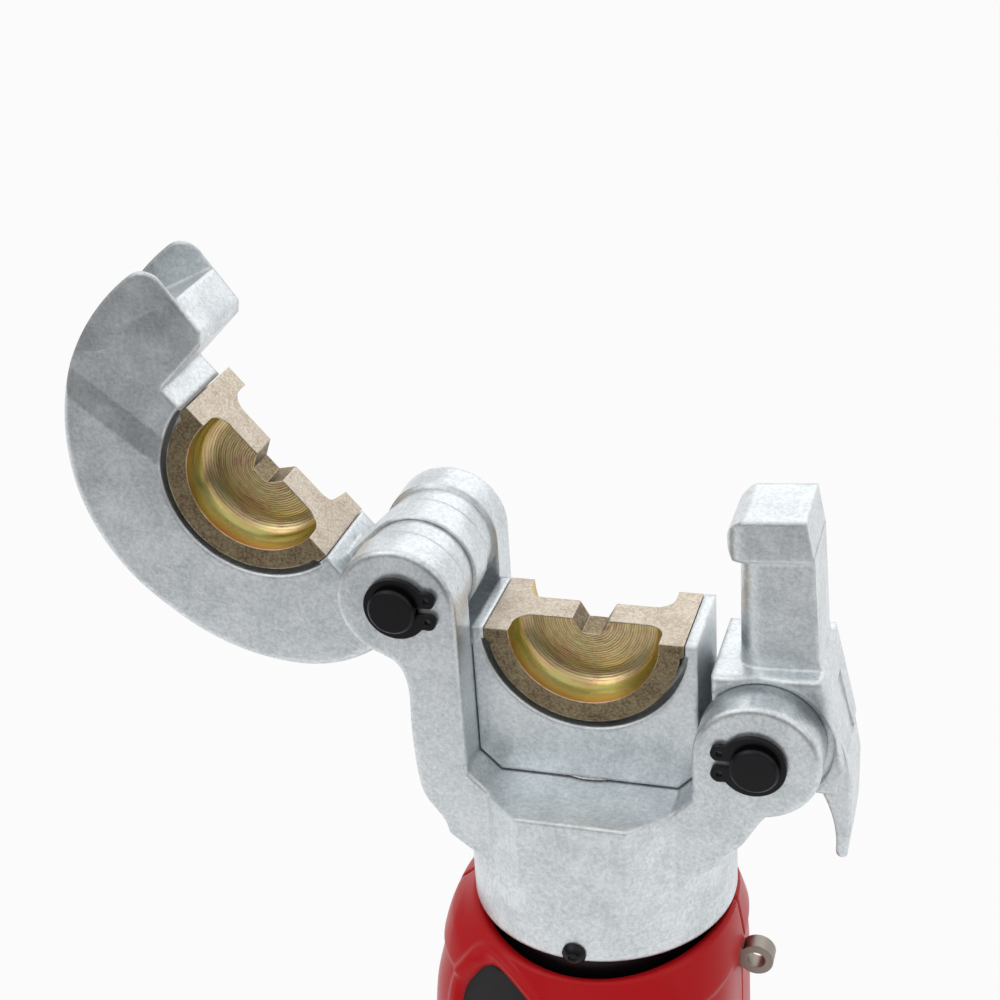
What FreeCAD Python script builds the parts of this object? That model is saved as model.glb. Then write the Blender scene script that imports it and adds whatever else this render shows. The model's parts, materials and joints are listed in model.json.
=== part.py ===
import FreeCAD, Part
import Sketcher
import math
import os

# Battery hydraulic crimping tool standing upright on its battery.
# +Z runs up the head, +X from the hinge side to the latch side, +Y to the back.
# The origin is the middle of the battery's underside, below the head's axis.
# Head pieces are drawn from the collar's lower rim, which is collar_height above the base.

DIMENSIONS = {
    # the die and what the head takes from it
    "slip": 0.3,
    "running": 0.05,
    "thread_gap": 0.1,
    "die_r": 24.3,
    "die_lug_out": 0.75,
    "die_neck_in": 0.5,
    "die_half_w": "=die_r + die_lug_out",
    "die_half_thick": 12.9,
    "die_lug_tall": 3.0,
    "die_seat_gap": 0.3,
    "die_rim": 5.4,
    "die_bowl_r": "=die_r - die_rim",
    "die_web_half": 4.3,
    "die_bowl_fillet": 4.8,
    "hex_side": 4.75,
    "seat_relief": 1.9,
    "seat_rib_half": 7.0,
    # ram block
    "block_wall": 2.85,
    "block_floor": 16.2,
    "block_bottom": 41.0,
    "block_half_w": "=die_half_w + die_seat_gap + block_wall",
    "block_half_thick": "=die_half_thick + running",
    "block_top": "=block_bottom + block_floor + die_r + 0.8",
    "block_chamfer": 5.4,
    # yoke
    "collar_r": 35.0,
    "collar_tall": 20.0,
    "collar_wall": 3.1,
    "deck_top": "=block_bottom - 0.4",
    "deck_thick": 14.6,
    "facet_half": 14.0,
    "facet_reach": "=collar_r - 1.8",
    "ear_thick": 10.85,
    "ear_inner": "=die_half_thick + 5 * running",
    "arm_face": "=ear_inner + ear_thick",
    "channel_half": "=block_half_w + slip",
    "channel_chamfer": "=block_chamfer + 0.1",
    "arm_thick": 14.1,
    "arm_outer": "=channel_half + arm_thick",
    "hinge_ear_r": 15.1,
    "latch_ear_r": 15.6,
    "hinge_x": "=channel_half + hinge_ear_r",
    "latch_x": "=channel_half + latch_ear_r",
    "ram_stroke": 22.3,
    "hinge_drop": 12.0,
    "latch_drop": 34.4,
    "crimp_up": "=block_top + ram_stroke",
    "hinge_up": "=crimp_up - hinge_drop",
    "latch_up": "=hinge_up - latch_drop",
    "ear_boss_inner": 5.3,
    "ear_round": 1.2,
    # pins and rings
    "pin_r": 6.0,
    "pin_proud": 3.4,
    "ring_thick": 1.2,
    "ring_gap": 0.2,
    "ring_groove": 0.5,
    "ring_width": 2.6,
    "ring_lug_r": 2.2,
    # upper jaw
    "open_angle": 130.5,
    "jaw_half_thick": "=die_half_thick + running",
    "jaw_thick": 25.1,
    "jaw_top": "=die_r + jaw_thick",
    "jaw_set_back": 1.3,
    "jaw_slope": 6.0,
    "jaw_round": 1.9,
    "hook_floor": 2.7,
    "hook_wall": "=block_half_w + 4.1",
    "hook_depth": 17.0,
    "tongue_half": "=ear_boss_inner - slip",
    "tongue_r": "=hinge_ear_r - 0.2",
    # latch
    "latch_half_thick": "=ear_inner + 1.55",
    "latch_barrel_half": "=ear_inner - slip",
    "latch_left": 12.4,
    "latch_block_top": 17.3,
    "latch_stem_half": 9.8,
    "latch_stem_round": 6.5,
    "latch_nose_half": 10.4,
    "latch_nose_low": "=latch_drop + hinge_drop + 0.6",
    "latch_nose_tall": 11.4,
    "latch_recess_r": "=latch_ear_r + 1.8",
    "latch_lever_half": 9.5,
    "latch_grip_half": 6.5,
    "latch_edge": 1.2,
    "latch_nose_round": 5.5,
    "latch_lever_low": 35.0,
    # hydraulics
    "rod_r": 13.6,
    "bush_r": 16.8,
    "bush_tall": 9.0,
    "swivel_groove": 1.6,
    "collar_screw_r": 1.5,
    "collar_screw_head_r": 3.1,
    "collar_screw_up": 2.7,
    "ram_head_r": 6.4,
    "ram_head_tall": 4.6,
    "ram_screw_r": 4.0,
    "ram_screw_bite": 14.0,
    "detent_r": 2.4,
    "detent_long": 8.0,
    "detent_angle": 45.0,
    "valve_r": 3.5,
    "valve_deep": 9.0,
    "plunger_long": 8.0,
    "plug_long": 3.0,
    "bladder_wall": 1.1,
    "bladder_bulge": 2.0,
    "bladder_tall": 30.0,
    "clamp_tall": 3.0,
    "latch_spring_half": 4.2,
    "latch_spring_r": 9.6,
    "cylinder_r": "=collar_r - collar_wall",
    "cylinder_wall": 6.9,
    "piston_r": "=cylinder_r - cylinder_wall - running",
    "piston_tall": 16.0,
    "cylinder_low": 78.0,
    "cylinder_base": 15.0,
    "pump_tall": 34.0,
    "pump_r": "=cylinder_r - 4.9",
    "pump_cavity_r": 13.0,
    "eccentric_r": 5.0,
    "eccentric_offset": 1.2,
    "eccentric_bearing_r": 9.5,
    "plunger_r": 4.0,
    "gearbox_r": 17.8,
    "gearbox_tall": 26.0,
    "motor_r": 17.5,
    "motor_tall": 54.0,
    "shaft_r": 2.2,
    # housing
    "wall": 2.6,
    "shell_top": 5.4,
    "shell_dip": 7.6,
    "neck_gap": 1.0,
    "shoulder_left": "=cylinder_r + 17.6",
    "shoulder_right": "=cylinder_r + 5.6",
    "shell_half_y": "=cylinder_r + 7.6",
    "inlay_thick": 1.6,
    "inlay_gap": 0.3,
    "sleeve_thick": 1.6,
    "sleeve_tall": 58.0,
    "upper_low": "=cylinder_low + pump_tall",
    "grip_left": 25.0,
    "grip_right": 23.5,
    "grip_half_y": 22.0,
    "wiring_room": 20.0,
    "grip_low": "=upper_low + gearbox_tall + motor_tall + wiring_room",
    "foot_left": 64.0,
    "foot_right": 42.0,
    "foot_half_y": 36.0,
    "foot_tall": 26.0,
    "foot_low": "=grip_low + foot_tall",
    "board_half": 20.0,
    "rail_gap": 0.4,
    "rail_neck": 13.0,
    "rail_head": 18.0,
    "rail_lip": 3.0,
    "rail_tall": 3.2,
    "cell_r": 9.1,
    "cell_long": 65.0,
    "battery_wall": 2.4,
    "battery_room": 20.4,
    "battery_left": 66.0,
    "battery_right": "=10 * cell_r + 2 * battery_wall + 14.2 - battery_left",
    "battery_half_y": "=cell_long / 2 + battery_wall + 3.1",
    "battery_tall": "=4 * cell_r + 2 * battery_wall + battery_room",
    "battery_button_r": 7.0,
    "collar_height": "=battery_tall + rail_gap + foot_low",
    "shell_screw_r": 1.5,
    "neck_screw_down": 38.0,
    "trigger_travel": 4.0,
    "switch_gap": 0.5,
    "release_r": 6.0,
    "release_travel": 2.0,
    "eye_x": "=shoulder_right + 3.2",
    "eye_down": 19.4,
    "eye_r": 4.6,
    "eye_hole_r": 2.4,
    "eye_thick": 4.8,
}

doc = FreeCAD.newDocument("CrimpingTool")
sheet = doc.addObject("Spreadsheet::Sheet", "Dims")


def fill_sheet():
    for row, (name, value) in enumerate(DIMENSIONS.items(), start=1):
        sheet.set("A%d" % row, name)
        sheet.set("B%d" % row, str(value))
        sheet.setAlias("B%d" % row, name)
    doc.recompute()


class Size:
    """A length from the sheet with the formula that binds to it."""

    def __init__(self, value, formula):
        self.value = float(value)
        self.formula = formula

    def join(self, other, sign):
        other = as_size(other)
        formula = "(%s %s %s)" % (self.formula, sign, other.formula)
        if sign == "+":
            return Size(self.value + other.value, formula)
        if sign == "-":
            return Size(self.value - other.value, formula)
        if sign == "*":
            return Size(self.value * other.value, formula)
        return Size(self.value / other.value, formula)

    def __add__(self, other):
        return self.join(other, "+")

    def __radd__(self, other):
        return as_size(other).join(self, "+")

    def __sub__(self, other):
        return self.join(other, "-")

    def __rsub__(self, other):
        return as_size(other).join(self, "-")

    def __mul__(self, other):
        return self.join(other, "*")

    def __rmul__(self, other):
        return as_size(other).join(self, "*")

    def __truediv__(self, other):
        return self.join(other, "/")

    def __neg__(self):
        return Size(-self.value, "(-1 * %s)" % self.formula)

    def __float__(self):
        return self.value


def as_size(value):
    if isinstance(value, Size):
        return value
    return Size(value, "%.6f" % value if value >= 0 else "(%.6f)" % value)


def dim(name):
    return Size(getattr(sheet, name), "Dims.%s" % name)


def side_of(slope, other):
    """The remaining side of a right triangle with the given slope and one side."""
    slope, other = as_size(slope), as_size(other)
    value = math.sqrt(slope.value ** 2 - other.value ** 2)
    return Size(value, "sqrt(%s ^ 2 - %s ^ 2)" % (slope.formula, other.formula))


def cosine(angle):
    return Size(math.cos(math.radians(angle.value)), "cos(%s)" % angle.formula)


def sine(angle):
    return Size(math.sin(math.radians(angle.value)), "sin(%s)" % angle.formula)


def bind(thing, path, value):
    thing.setExpression(path, as_size(value).formula)


def place(thing, x=0, y=0, z=0, turn_y=None):
    """Sets a sub-part's place from sizes, turned about its own Y axis if asked."""
    rotation = FreeCAD.Rotation(FreeCAD.Vector(0, 1, 0), float(turn_y) if turn_y is not None else 0)
    spot = FreeCAD.Vector(float(x), float(y), float(z))
    thing.Placement = FreeCAD.Placement(spot, rotation)
    for axis, value in (("x", x), ("y", y), ("z", z)):
        if isinstance(value, Size):
            bind(thing, "Placement.Base.%s" % axis, value)
    if isinstance(turn_y, Size):
        bind(thing, "Placement.Rotation.Angle", turn_y)


def new_body(label):
    body = doc.addObject("PartDesign::Body", label)
    body.Label = label
    return body


def new_sketch(body, plane, shift=0):
    """An empty sketch on one of the body's own origin planes, moved along its normal."""
    sketch = body.newObject("Sketcher::SketchObject", "Sketch")
    origin_plane = [item for item in body.Origin.OriginFeatures if item.Role == plane][0]
    sketch.AttachmentSupport = [(origin_plane, "")]
    sketch.MapMode = "FlatFace"
    sketch.AttachmentOffset = FreeCAD.Placement(FreeCAD.Vector(0, 0, float(shift)), FreeCAD.Rotation())
    if isinstance(shift, Size):
        bind(sketch, "AttachmentOffset.Base.z", shift)
    return sketch


def hold(sketch, kind, first, first_end, second, second_end, value):
    """Adds a distance constraint and ties it to its formula."""
    if value.value == 0.0 and "Dims" not in value.formula:
        value = Size(0.0, "0")
    number = sketch.addConstraint(
        Sketcher.Constraint(kind, first, first_end, second, second_end, value.value))
    if "Dims" in value.formula:
        sketch.setExpression("Constraints[%d]" % number, value.formula)


def arc_between(start, end, radius):
    """The short arc from start to end; a positive radius bulges to the right of the way.

    Returns the arc, always drawn anticlockwise, and whether it runs from start to end.
    """
    chord = end - start
    half = chord.Length / 2
    size = abs(radius)
    inward = FreeCAD.Vector(-chord.y, chord.x, 0).normalize()
    if radius < 0:
        inward = -inward
    centre = (start + end) * 0.5 + inward * math.sqrt(max(size * size - half * half, 0.0))
    forward = radius > 0
    first, last = (start, end) if forward else (end, start)
    begin = math.atan2(first.y - centre.y, first.x - centre.x)
    finish = math.atan2(last.y - centre.y, last.x - centre.x)
    if finish < begin:
        finish += 2 * math.pi
    circle = Part.Circle(centre, FreeCAD.Vector(0, 0, 1), size)
    return Part.ArcOfCircle(circle, begin, finish), forward


def outline(body, plane, points, shift=0):
    """A closed outline of lines and arcs. A third value on a point is the next arc's radius."""
    sketch = new_sketch(body, plane, shift)
    corners = [(as_size(point[0]), as_size(point[1])) for point in points]
    spots = [FreeCAD.Vector(x.value, y.value, 0) for x, y in corners]
    count = len(points)
    ends = []
    for index, point in enumerate(points):
        start = spots[index]
        end = spots[(index + 1) % count]
        if len(point) == 3:
            curve, forward = arc_between(start, end, float(point[2]))
            number = sketch.addGeometry(curve, False)
            ends.append((number, 1, 2) if forward else (number, 2, 1))
        else:
            number = sketch.addGeometry(Part.LineSegment(start, end), False)
            ends.append((number, 1, 2))
    for index in range(count):
        here = ends[index]
        following = ends[(index + 1) % count]
        sketch.addConstraint(
            Sketcher.Constraint("Coincident", here[0], here[2], following[0], following[1]))
    for index, (x, y) in enumerate(corners):
        hold(sketch, "DistanceX", -1, 1, ends[index][0], ends[index][1], x)
        hold(sketch, "DistanceY", -1, 1, ends[index][0], ends[index][1], y)
    for index, point in enumerate(points):
        if len(point) == 3:
            radius = as_size(point[2])
            if radius.value < 0:
                radius = -radius
            number = sketch.addConstraint(
                Sketcher.Constraint("Radius", ends[index][0], radius.value))
            if "Dims" in radius.formula:
                sketch.setExpression("Constraints[%d]" % number, radius.formula)
    return sketch


def circles(body, plane, rounds, shift=0):
    """Circles given as centre and radius."""
    sketch = new_sketch(body, plane, shift)
    for x, y, radius in rounds:
        x, y, radius = as_size(x), as_size(y), as_size(radius)
        circle = Part.Circle(FreeCAD.Vector(x.value, y.value, 0), FreeCAD.Vector(0, 0, 1), radius.value)
        number = sketch.addGeometry(circle, False)
        hold(sketch, "DistanceX", -1, 1, number, 3, x)
        hold(sketch, "DistanceY", -1, 1, number, 3, y)
        constraint = sketch.addConstraint(Sketcher.Constraint("Radius", number, radius.value))
        if "Dims" in radius.formula:
            sketch.setExpression("Constraints[%d]" % constraint, radius.formula)
    return sketch


def box_outline(low_x, high_x, low_y, high_y):
    return [(low_x, low_y), (high_x, low_y), (high_x, high_y), (low_x, high_y)]


def pad(body, sketch, length, way="Symmetric", flip=False, taper=0):
    feature = body.newObject("PartDesign::Pad", "Pad")
    feature.Profile = sketch
    feature.SideType = way
    feature.Reversed = flip
    feature.TaperAngle = taper
    feature.Length = float(length)
    bind(feature, "Length", length)
    doc.recompute()
    return feature


def pocket(body, sketch, length, way="Symmetric", flip=False):
    """Cuts the sketch out of the body and makes sure that it took something away."""
    before = body.Shape.Volume
    feature = body.newObject("PartDesign::Pocket", "Pocket")
    feature.Profile = sketch
    feature.SideType = way
    feature.Reversed = flip
    feature.Length = float(length)
    bind(feature, "Length", length)
    doc.recompute()
    if not body.Shape.Volume < before:
        raise RuntimeError("a pocket in %s cuts nothing" % body.Label)
    return feature


def revolve(body, sketch, name="Revolution"):
    feature = body.newObject("PartDesign::%s" % name, name)
    feature.Profile = sketch
    feature.ReferenceAxis = (sketch, ["V_Axis"])
    feature.Angle = 360
    doc.recompute()
    return feature


def round_edges(body, radius, choose, kind="Fillet"):
    """Fillets or chamfers the edges of the body's present shape that choose accepts."""
    base = body.Tip
    names = ["Edge%d" % number for number, edge in enumerate(base.Shape.Edges, start=1) if choose(edge)]
    feature = body.newObject("PartDesign::%s" % kind, kind)
    feature.Base = (base, names)
    path = "Radius" if kind == "Fillet" else "Size"
    setattr(feature, path, float(radius))
    bind(feature, path, radius)
    doc.recompute()
    return feature


def turned(label, points, x=0, y=0, z=0):
    """A piece turned about its own upright axis, from half its section."""
    body = new_body(label)
    revolve(body, outline(body, "XZ_Plane", points))
    place(body, x, y, z)
    return body


def shape_part(label, shape, x=0, y=0, z=0):
    """A sub-part whose form is made with solid operations on sizes read from the sheet."""
    thing = doc.addObject("Part::Feature", label)
    thing.Label = label
    thing.Shape = shape
    place(thing, x, y, z)
    return thing


def flat_wire(points, y=0.0):
    """A closed wire of straight lines in the XZ plane."""
    spots = [FreeCAD.Vector(float(px), y, float(pz)) for px, pz in points]
    return Part.makePolygon(spots + [spots[0]])


def slab(points, low_y, high_y):
    """A closed XZ outline given thickness along Y."""
    face = Part.Face(flat_wire(points, float(low_y)))
    return face.extrude(FreeCAD.Vector(0, float(high_y) - float(low_y), 0))


def prism(points, low_z, high_z):
    """A closed XY outline given height along Z."""
    spots = [FreeCAD.Vector(float(px), float(py), float(low_z)) for px, py in points]
    face = Part.Face(Part.makePolygon(spots + [spots[0]]))
    return face.extrude(FreeCAD.Vector(0, 0, float(high_z) - float(low_z)))


def rod_y(radius, low_y, high_y, x=0, z=0, top_radius=None):
    """A cylinder or cone along Y."""
    start = FreeCAD.Vector(float(x), float(low_y), float(z))
    length = float(high_y) - float(low_y)
    axis = FreeCAD.Vector(0, 1, 0)
    if top_radius is None:
        return Part.makeCylinder(float(radius), length, start, axis)
    return Part.makeCone(float(radius), float(top_radius), length, start, axis)


def rod_z(radius, low_z, high_z, x=0, y=0):
    start = FreeCAD.Vector(float(x), float(y), float(low_z))
    return Part.makeCylinder(float(radius), float(high_z) - float(low_z), start)


def block(low, high):
    corner = FreeCAD.Vector(*[float(value) for value in low])
    size = [float(b) - float(a) for a, b in zip(low, high)]
    return Part.makeBox(size[0], size[1], size[2], corner)


AXIS_X = FreeCAD.Vector(1, 0, 0)
AXIS_Y = FreeCAD.Vector(0, 1, 0)


def smooth_slab(runs, low_y, high_y):
    """A closed XZ outline given thickness along Y; a run of three or more points is one smooth curve."""
    edges = []
    for run in runs:
        spots = [FreeCAD.Vector(float(px), float(low_y), float(pz)) for px, pz in run]
        if len(spots) == 2:
            edges.append(Part.LineSegment(spots[0], spots[1]).toShape())
        else:
            curve = Part.BSplineCurve()
            curve.interpolate(spots)
            edges.append(curve.toShape())
    return Part.Face(Part.Wire(edges)).extrude(FreeCAD.Vector(0, float(high_y) - float(low_y), 0))


def make_yoke():
    """Forged U frame: round collar, faceted shoulders, a tall hinge arm and a short latch arm."""
    collar_r = dim("collar_r")
    deck = dim("deck_top")
    face = dim("arm_face")
    wall = dim("channel_half")
    outer = dim("arm_outer")
    hinge_x, hinge_up = dim("hinge_x"), dim("hinge_up")
    latch_x, latch_up = dim("latch_x"), dim("latch_up")
    hinge_r, latch_r = dim("hinge_ear_r"), dim("latch_ear_r")
    reach, facet = dim("facet_reach"), dim("facet_half")
    tall = dim("collar_tall")
    chamfer = dim("channel_chamfer")
    floor = deck + chamfer + 2
    hinge_side = [
        (-collar_r, deck - 14), (-collar_r - 2.1, deck - 8.4), (-outer + 2.4, deck - 4), (-outer + 1, deck + 0.6),
        (-outer + 0.3, deck + 8), (-outer + 0.1, deck + 20), (-outer - 0.2, hinge_up - hinge_r - 6),
        (-outer - 1.8, hinge_up - hinge_r - 2), (-hinge_x - 4.4, hinge_up - hinge_r + 0.4),
    ]
    latch_side = [
        (latch_x + 13.6, latch_up - 5), (latch_x + 8.4, latch_up - 10.6), (latch_x + 2.6, latch_up - 15.2),
        (latch_x - 1.4, deck - 3.6), (latch_x - 4.6, deck - 8.2), (collar_r + 1.6, deck - 10.6),
        (collar_r, deck - 14),
    ]
    runs = [
        hinge_side,
        [hinge_side[-1], (-hinge_x, hinge_up)],
        [(-hinge_x, hinge_up), (-wall, hinge_up)],
        [(-wall, hinge_up), (-wall, floor)],
        [(-wall, floor), (wall, floor)],
        [(wall, floor), (wall, latch_up)],
        [(wall, latch_up), (latch_x, latch_up)],
        [(latch_x, latch_up), latch_side[0]],
        latch_side,
        [latch_side[-1], (collar_r, tall - 6)],
        [(collar_r, tall - 6), (-collar_r, tall - 6)],
        [(-collar_r, tall - 6), hinge_side[0]],
    ]
    front = smooth_slab(runs, -reach - 1, reach + 1)
    wide = outer * 2
    plan = [
        (-wide, -face), (-facet - 10, -face), (-facet, -reach), (facet, -reach), (facet + 10, -face),
        (wide, -face), (wide, face), (facet + 10, face), (facet, reach), (-facet, reach),
        (-facet - 10, face), (-wide, face),
    ]
    body = front.common(prism(plan, 0, hinge_up + wide))
    rise = float(outer)
    envelope = Part.makeCone(float(collar_r), float(collar_r) + rise, rise, FreeCAD.Vector(0, 0, float(tall)))
    envelope = envelope.fuse(rod_z(collar_r, 0, tall)).fuse(rod_z(collar_r + rise, tall + rise, hinge_up * 2))
    body = body.common(envelope)
    ears = rod_y(hinge_r, -face, face, -hinge_x, hinge_up).fuse(rod_y(latch_r, -face, face, latch_x, latch_up))
    blend = Part.makeCone(float(collar_r), float(reach) - 0.2, 6.5, FreeCAD.Vector(0, 0, float(tall) - 5))
    body = body.fuse([ears, rod_z(collar_r, 0, tall - 5), blend]).removeSplitter()
    body = soften_yoke(body, float(face), float(wall))
    channel = slab([(-wall, hinge_up * 2), (-wall, deck + chamfer), (-wall + chamfer, deck), (wall - chamfer, deck),
                    (wall, deck + chamfer), (wall, hinge_up * 2)], -collar_r, collar_r)
    body = body.cut(channel)
    inner = dim("ear_inner")
    tongue_r = dim("tongue_r")
    slot = block((-wide, -inner, hinge_up - tongue_r - 1), (0, inner, hinge_up * 2))
    boss = rod_y(hinge_r - 1, -inner - 0.1, inner + 0.1, -hinge_x, hinge_up)
    boss_gap = dim("ear_boss_inner")
    boss = boss.cut(rod_y(hinge_r + 5, -boss_gap, boss_gap, -hinge_x, hinge_up))
    latch_slot = block((wall - 0.5, -inner, deck), (wide, inner, hinge_up * 2))
    body = body.cut(slot).fuse(boss).cut(latch_slot)
    pin_hole = dim("pin_r") + dim("running")
    body = body.cut(rod_y(pin_hole, -face - 1, face + 1, -hinge_x, hinge_up))
    body = body.cut(rod_y(pin_hole, -face - 1, face + 1, latch_x, latch_up))
    bore = dim("cylinder_r") + dim("running")
    ceiling = deck - dim("deck_thick")
    body = body.cut(rod_z(bore, -1, ceiling))
    body = body.cut(rod_z(dim("rod_r") + dim("slip"), -1, deck + 1))
    body = body.cut(rod_z(dim("bush_r") + dim("running"), ceiling - 1, ceiling + dim("bush_tall") + dim("running")))
    screw_bore = dim("collar_screw_r") + dim("running")
    screw_up = FreeCAD.Vector(0, -float(dim("rod_r")) - 6, float(dim("collar_screw_up")))
    body = body.cut(Part.makeCylinder(float(screw_bore), float(collar_r), screw_up, FreeCAD.Vector(0, -1, 0)))
    return shape_part("yoke", body.removeSplitter(), z=dim("collar_height"))


def soften_yoke(shape, face, wall):
    """Rounds the rims of both faces of the arms and the collar's lower rim."""
    rim = []
    for edge in shape.Edges:
        box = edge.BoundBox
        on_face = box.YLength < 0.01 and abs(abs(box.YMin) - face) < 0.01
        on_arm = abs(box.Center.x) > wall - 0.1 and not isinstance(edge.Curve, Part.Hyperbola)
        at_foot = box.ZMax < 0.01
        if (on_face and on_arm) or at_foot:
            rim.append(edge)
    return shape.makeFillet(float(dim("ear_round")), rim)


def make_collar_screw():
    """Black button-head socket screw low on the collar; its tip runs in the cylinder's groove."""
    head_r, shank_r = float(dim("collar_screw_head_r")), float(dim("collar_screw_r"))
    start = dim("collar_r")
    tip = float(start - dim("cylinder_r") + dim("swivel_groove") - dim("slip"))
    shank = Part.makeCylinder(shank_r, tip, FreeCAD.Vector(0, 0, 0), AXIS_Y)
    key_r = head_r * 0.4
    dome = Part.makeSphere(head_r * 1.2, FreeCAD.Vector(0, head_r * 0.5, 0))
    head = dome.common(Part.makeCylinder(head_r, head_r, FreeCAD.Vector(0, -head_r, 0), AXIS_Y))
    turns = [math.radians(60 * k) for k in range(7)]
    corners = [FreeCAD.Vector(key_r * math.cos(turn), -head_r - 1, key_r * math.sin(turn)) for turn in turns]
    socket = Part.Face(Part.makePolygon(corners)).extrude(FreeCAD.Vector(0, head_r * 0.5 + 1, 0))
    shape = head.fuse(shank).cut(socket)
    return shape_part("collar_screw", shape, y=-start, z=dim("collar_height") + dim("collar_screw_up"))


def make_pin(label, x, up):
    """Ground pin with a groove near each end for its ring."""
    radius = dim("pin_r")
    half = dim("arm_face") + dim("pin_proud")
    seat = dim("arm_face") + dim("ring_gap")
    groove = dim("ring_groove")
    thick = dim("ring_thick")
    body = new_body(label)
    points = [
        (0, -half), (radius - 0.6, -half), (radius, -half + 0.6),
        (radius, -seat - thick - 0.1), (radius - groove, -seat - thick - 0.1),
        (radius - groove, -seat + 0.1), (radius, -seat + 0.1),
        (radius, seat - 0.1), (radius - groove, seat - 0.1),
        (radius - groove, seat + thick + 0.1), (radius, seat + thick + 0.1),
        (radius, half - 0.6), (radius - 0.6, half), (0, half),
    ]
    revolve(body, outline(body, "XY_Plane", points))
    place(body, x, 0, dim("collar_height") + up)
    return body


def make_rings(label, x, up, toward):
    """A pair of external retaining rings with two drilled lugs each, opening to one side."""
    inner = dim("pin_r") - dim("ring_groove") + 0.05
    outer = inner + dim("ring_width")
    lug_r = dim("ring_lug_r")
    thick = float(dim("ring_thick"))
    seat = float(dim("arm_face") + dim("ring_gap"))
    solids = []
    for front in (-1, 1):
        low = -seat - thick if front < 0 else seat
        ring = rod_y(outer, low, low + thick, toward * 0.6, 0)
        lug_x = toward * (float(outer) + 0.4)
        for side in (-1, 1):
            lug = rod_y(lug_r, low, low + thick, lug_x, side * 2.9)
            bridge = block((min(0, lug_x), low, min(side * 0.9, side * 5.0)),
                           (max(0, lug_x), low + thick, max(side * 0.9, side * 5.0)))
            ring = ring.fuse([lug, bridge])
        gap = block((min(0, toward * 20), low - 1, -0.9), (max(0, toward * 20), low + thick + 1, 0.9))
        ring = ring.cut(rod_y(inner, low - 1, low + thick + 1)).cut(gap)
        for side in (-1, 1):
            ring = ring.cut(rod_y(0.8, low - 1, low + thick + 1, lug_x, side * 2.9))
        solids.append(ring.removeSplitter())
    return shape_part(label, Part.makeCompound(solids), x=x, z=dim("collar_height") + up)


def make_die(label):
    """Half die: half disc with side lugs, a bowl in each face and a notched web between them."""
    body = new_body(label)
    radius, half_w = dim("die_r"), dim("die_half_w")
    lug = dim("die_lug_tall")
    neck = radius - dim("die_neck_in")
    drop = side_of(radius, neck)
    points = [
        (-half_w, 0), (-half_w, -lug), (-neck, -lug - 0.8), (-neck, -drop, radius), (neck, -drop),
        (neck, -lug - 0.8), (half_w, -lug), (half_w, 0),
    ]
    pad(body, outline(body, "XZ_Plane", points), dim("die_half_thick") * 2)
    bowl_r, web = dim("die_bowl_r"), dim("die_web_half")
    side = dim("hex_side")
    for flip in (False, True):
        sketch = circles(body, "XZ_Plane", [(0, 0, bowl_r)], -web if flip else web)
        pocket(body, sketch, dim("die_half_thick"), "One side", not flip)
    low = side * 0.866025
    notch = outline(body, "XZ_Plane", [(-side, 1), (-side, 0), (-side / 2, -low), (side / 2, -low),
                                       (side, 0), (side, 1)])
    pocket(body, notch, web * 2 + 4)

    def bowl_floor(edge):
        box = edge.BoundBox
        flat = abs(box.YLength) < 0.01 and abs(abs(box.YMin) - float(web)) < 0.01
        return flat and isinstance(edge.Curve, Part.Circle)

    round_edges(body, dim("die_bowl_fillet"), bowl_floor)
    return body


def seat_outline():
    """Half of each die seat: short walls, a step outwards and the relief arc, drawn downwards."""
    wall = dim("die_half_w") + dim("die_seat_gap")
    relief = dim("die_r") + dim("seat_relief")
    lug = dim("die_lug_tall")
    arc_x = side_of(relief, lug)
    return [(wall, 0), (wall, -lug), (arc_x, -lug, -relief), (-arc_x, -lug), (-wall, -lug), (-wall, 0)]


def seat_rib_outline():
    """The rib in the middle of a seat that the die's round back rests on."""
    low = dim("die_lug_tall") + 2
    inner = dim("die_r") + dim("die_seat_gap")
    outer = dim("die_r") + dim("seat_relief") + 1
    inner_x, outer_x = side_of(inner, low), side_of(outer, low)
    return [(-outer_x, -low, outer), (outer_x, -low), (inner_x, -low, -inner), (-inner_x, -low)]


def detent_bore(body, x, z, angle):
    """A blind bore for the spring plunger that holds the die, along a ray of the seat."""
    start = dim("die_r") - 1
    cutter = body.newObject("PartDesign::SubtractiveCylinder", "DetentBore")
    cutter.Radius = float(dim("detent_r")) + 0.05
    bind(cutter, "Radius", dim("detent_r") + dim("running"))
    cutter.Height = float(dim("detent_long")) + 3
    bind(cutter, "Height", dim("detent_long") + 1 + dim("die_seat_gap") + dim("slip"))
    turn = math.radians(angle)
    base = FreeCAD.Vector(x.value + start.value * math.sin(turn), 0, z.value + start.value * math.cos(turn))
    cutter.Placement = FreeCAD.Placement(base, FreeCAD.Rotation(AXIS_Y, angle))
    bind(cutter, "Placement.Base.x", x + start * math.sin(turn))
    bind(cutter, "Placement.Base.z", z + start * math.cos(turn))
    doc.recompute()


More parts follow.
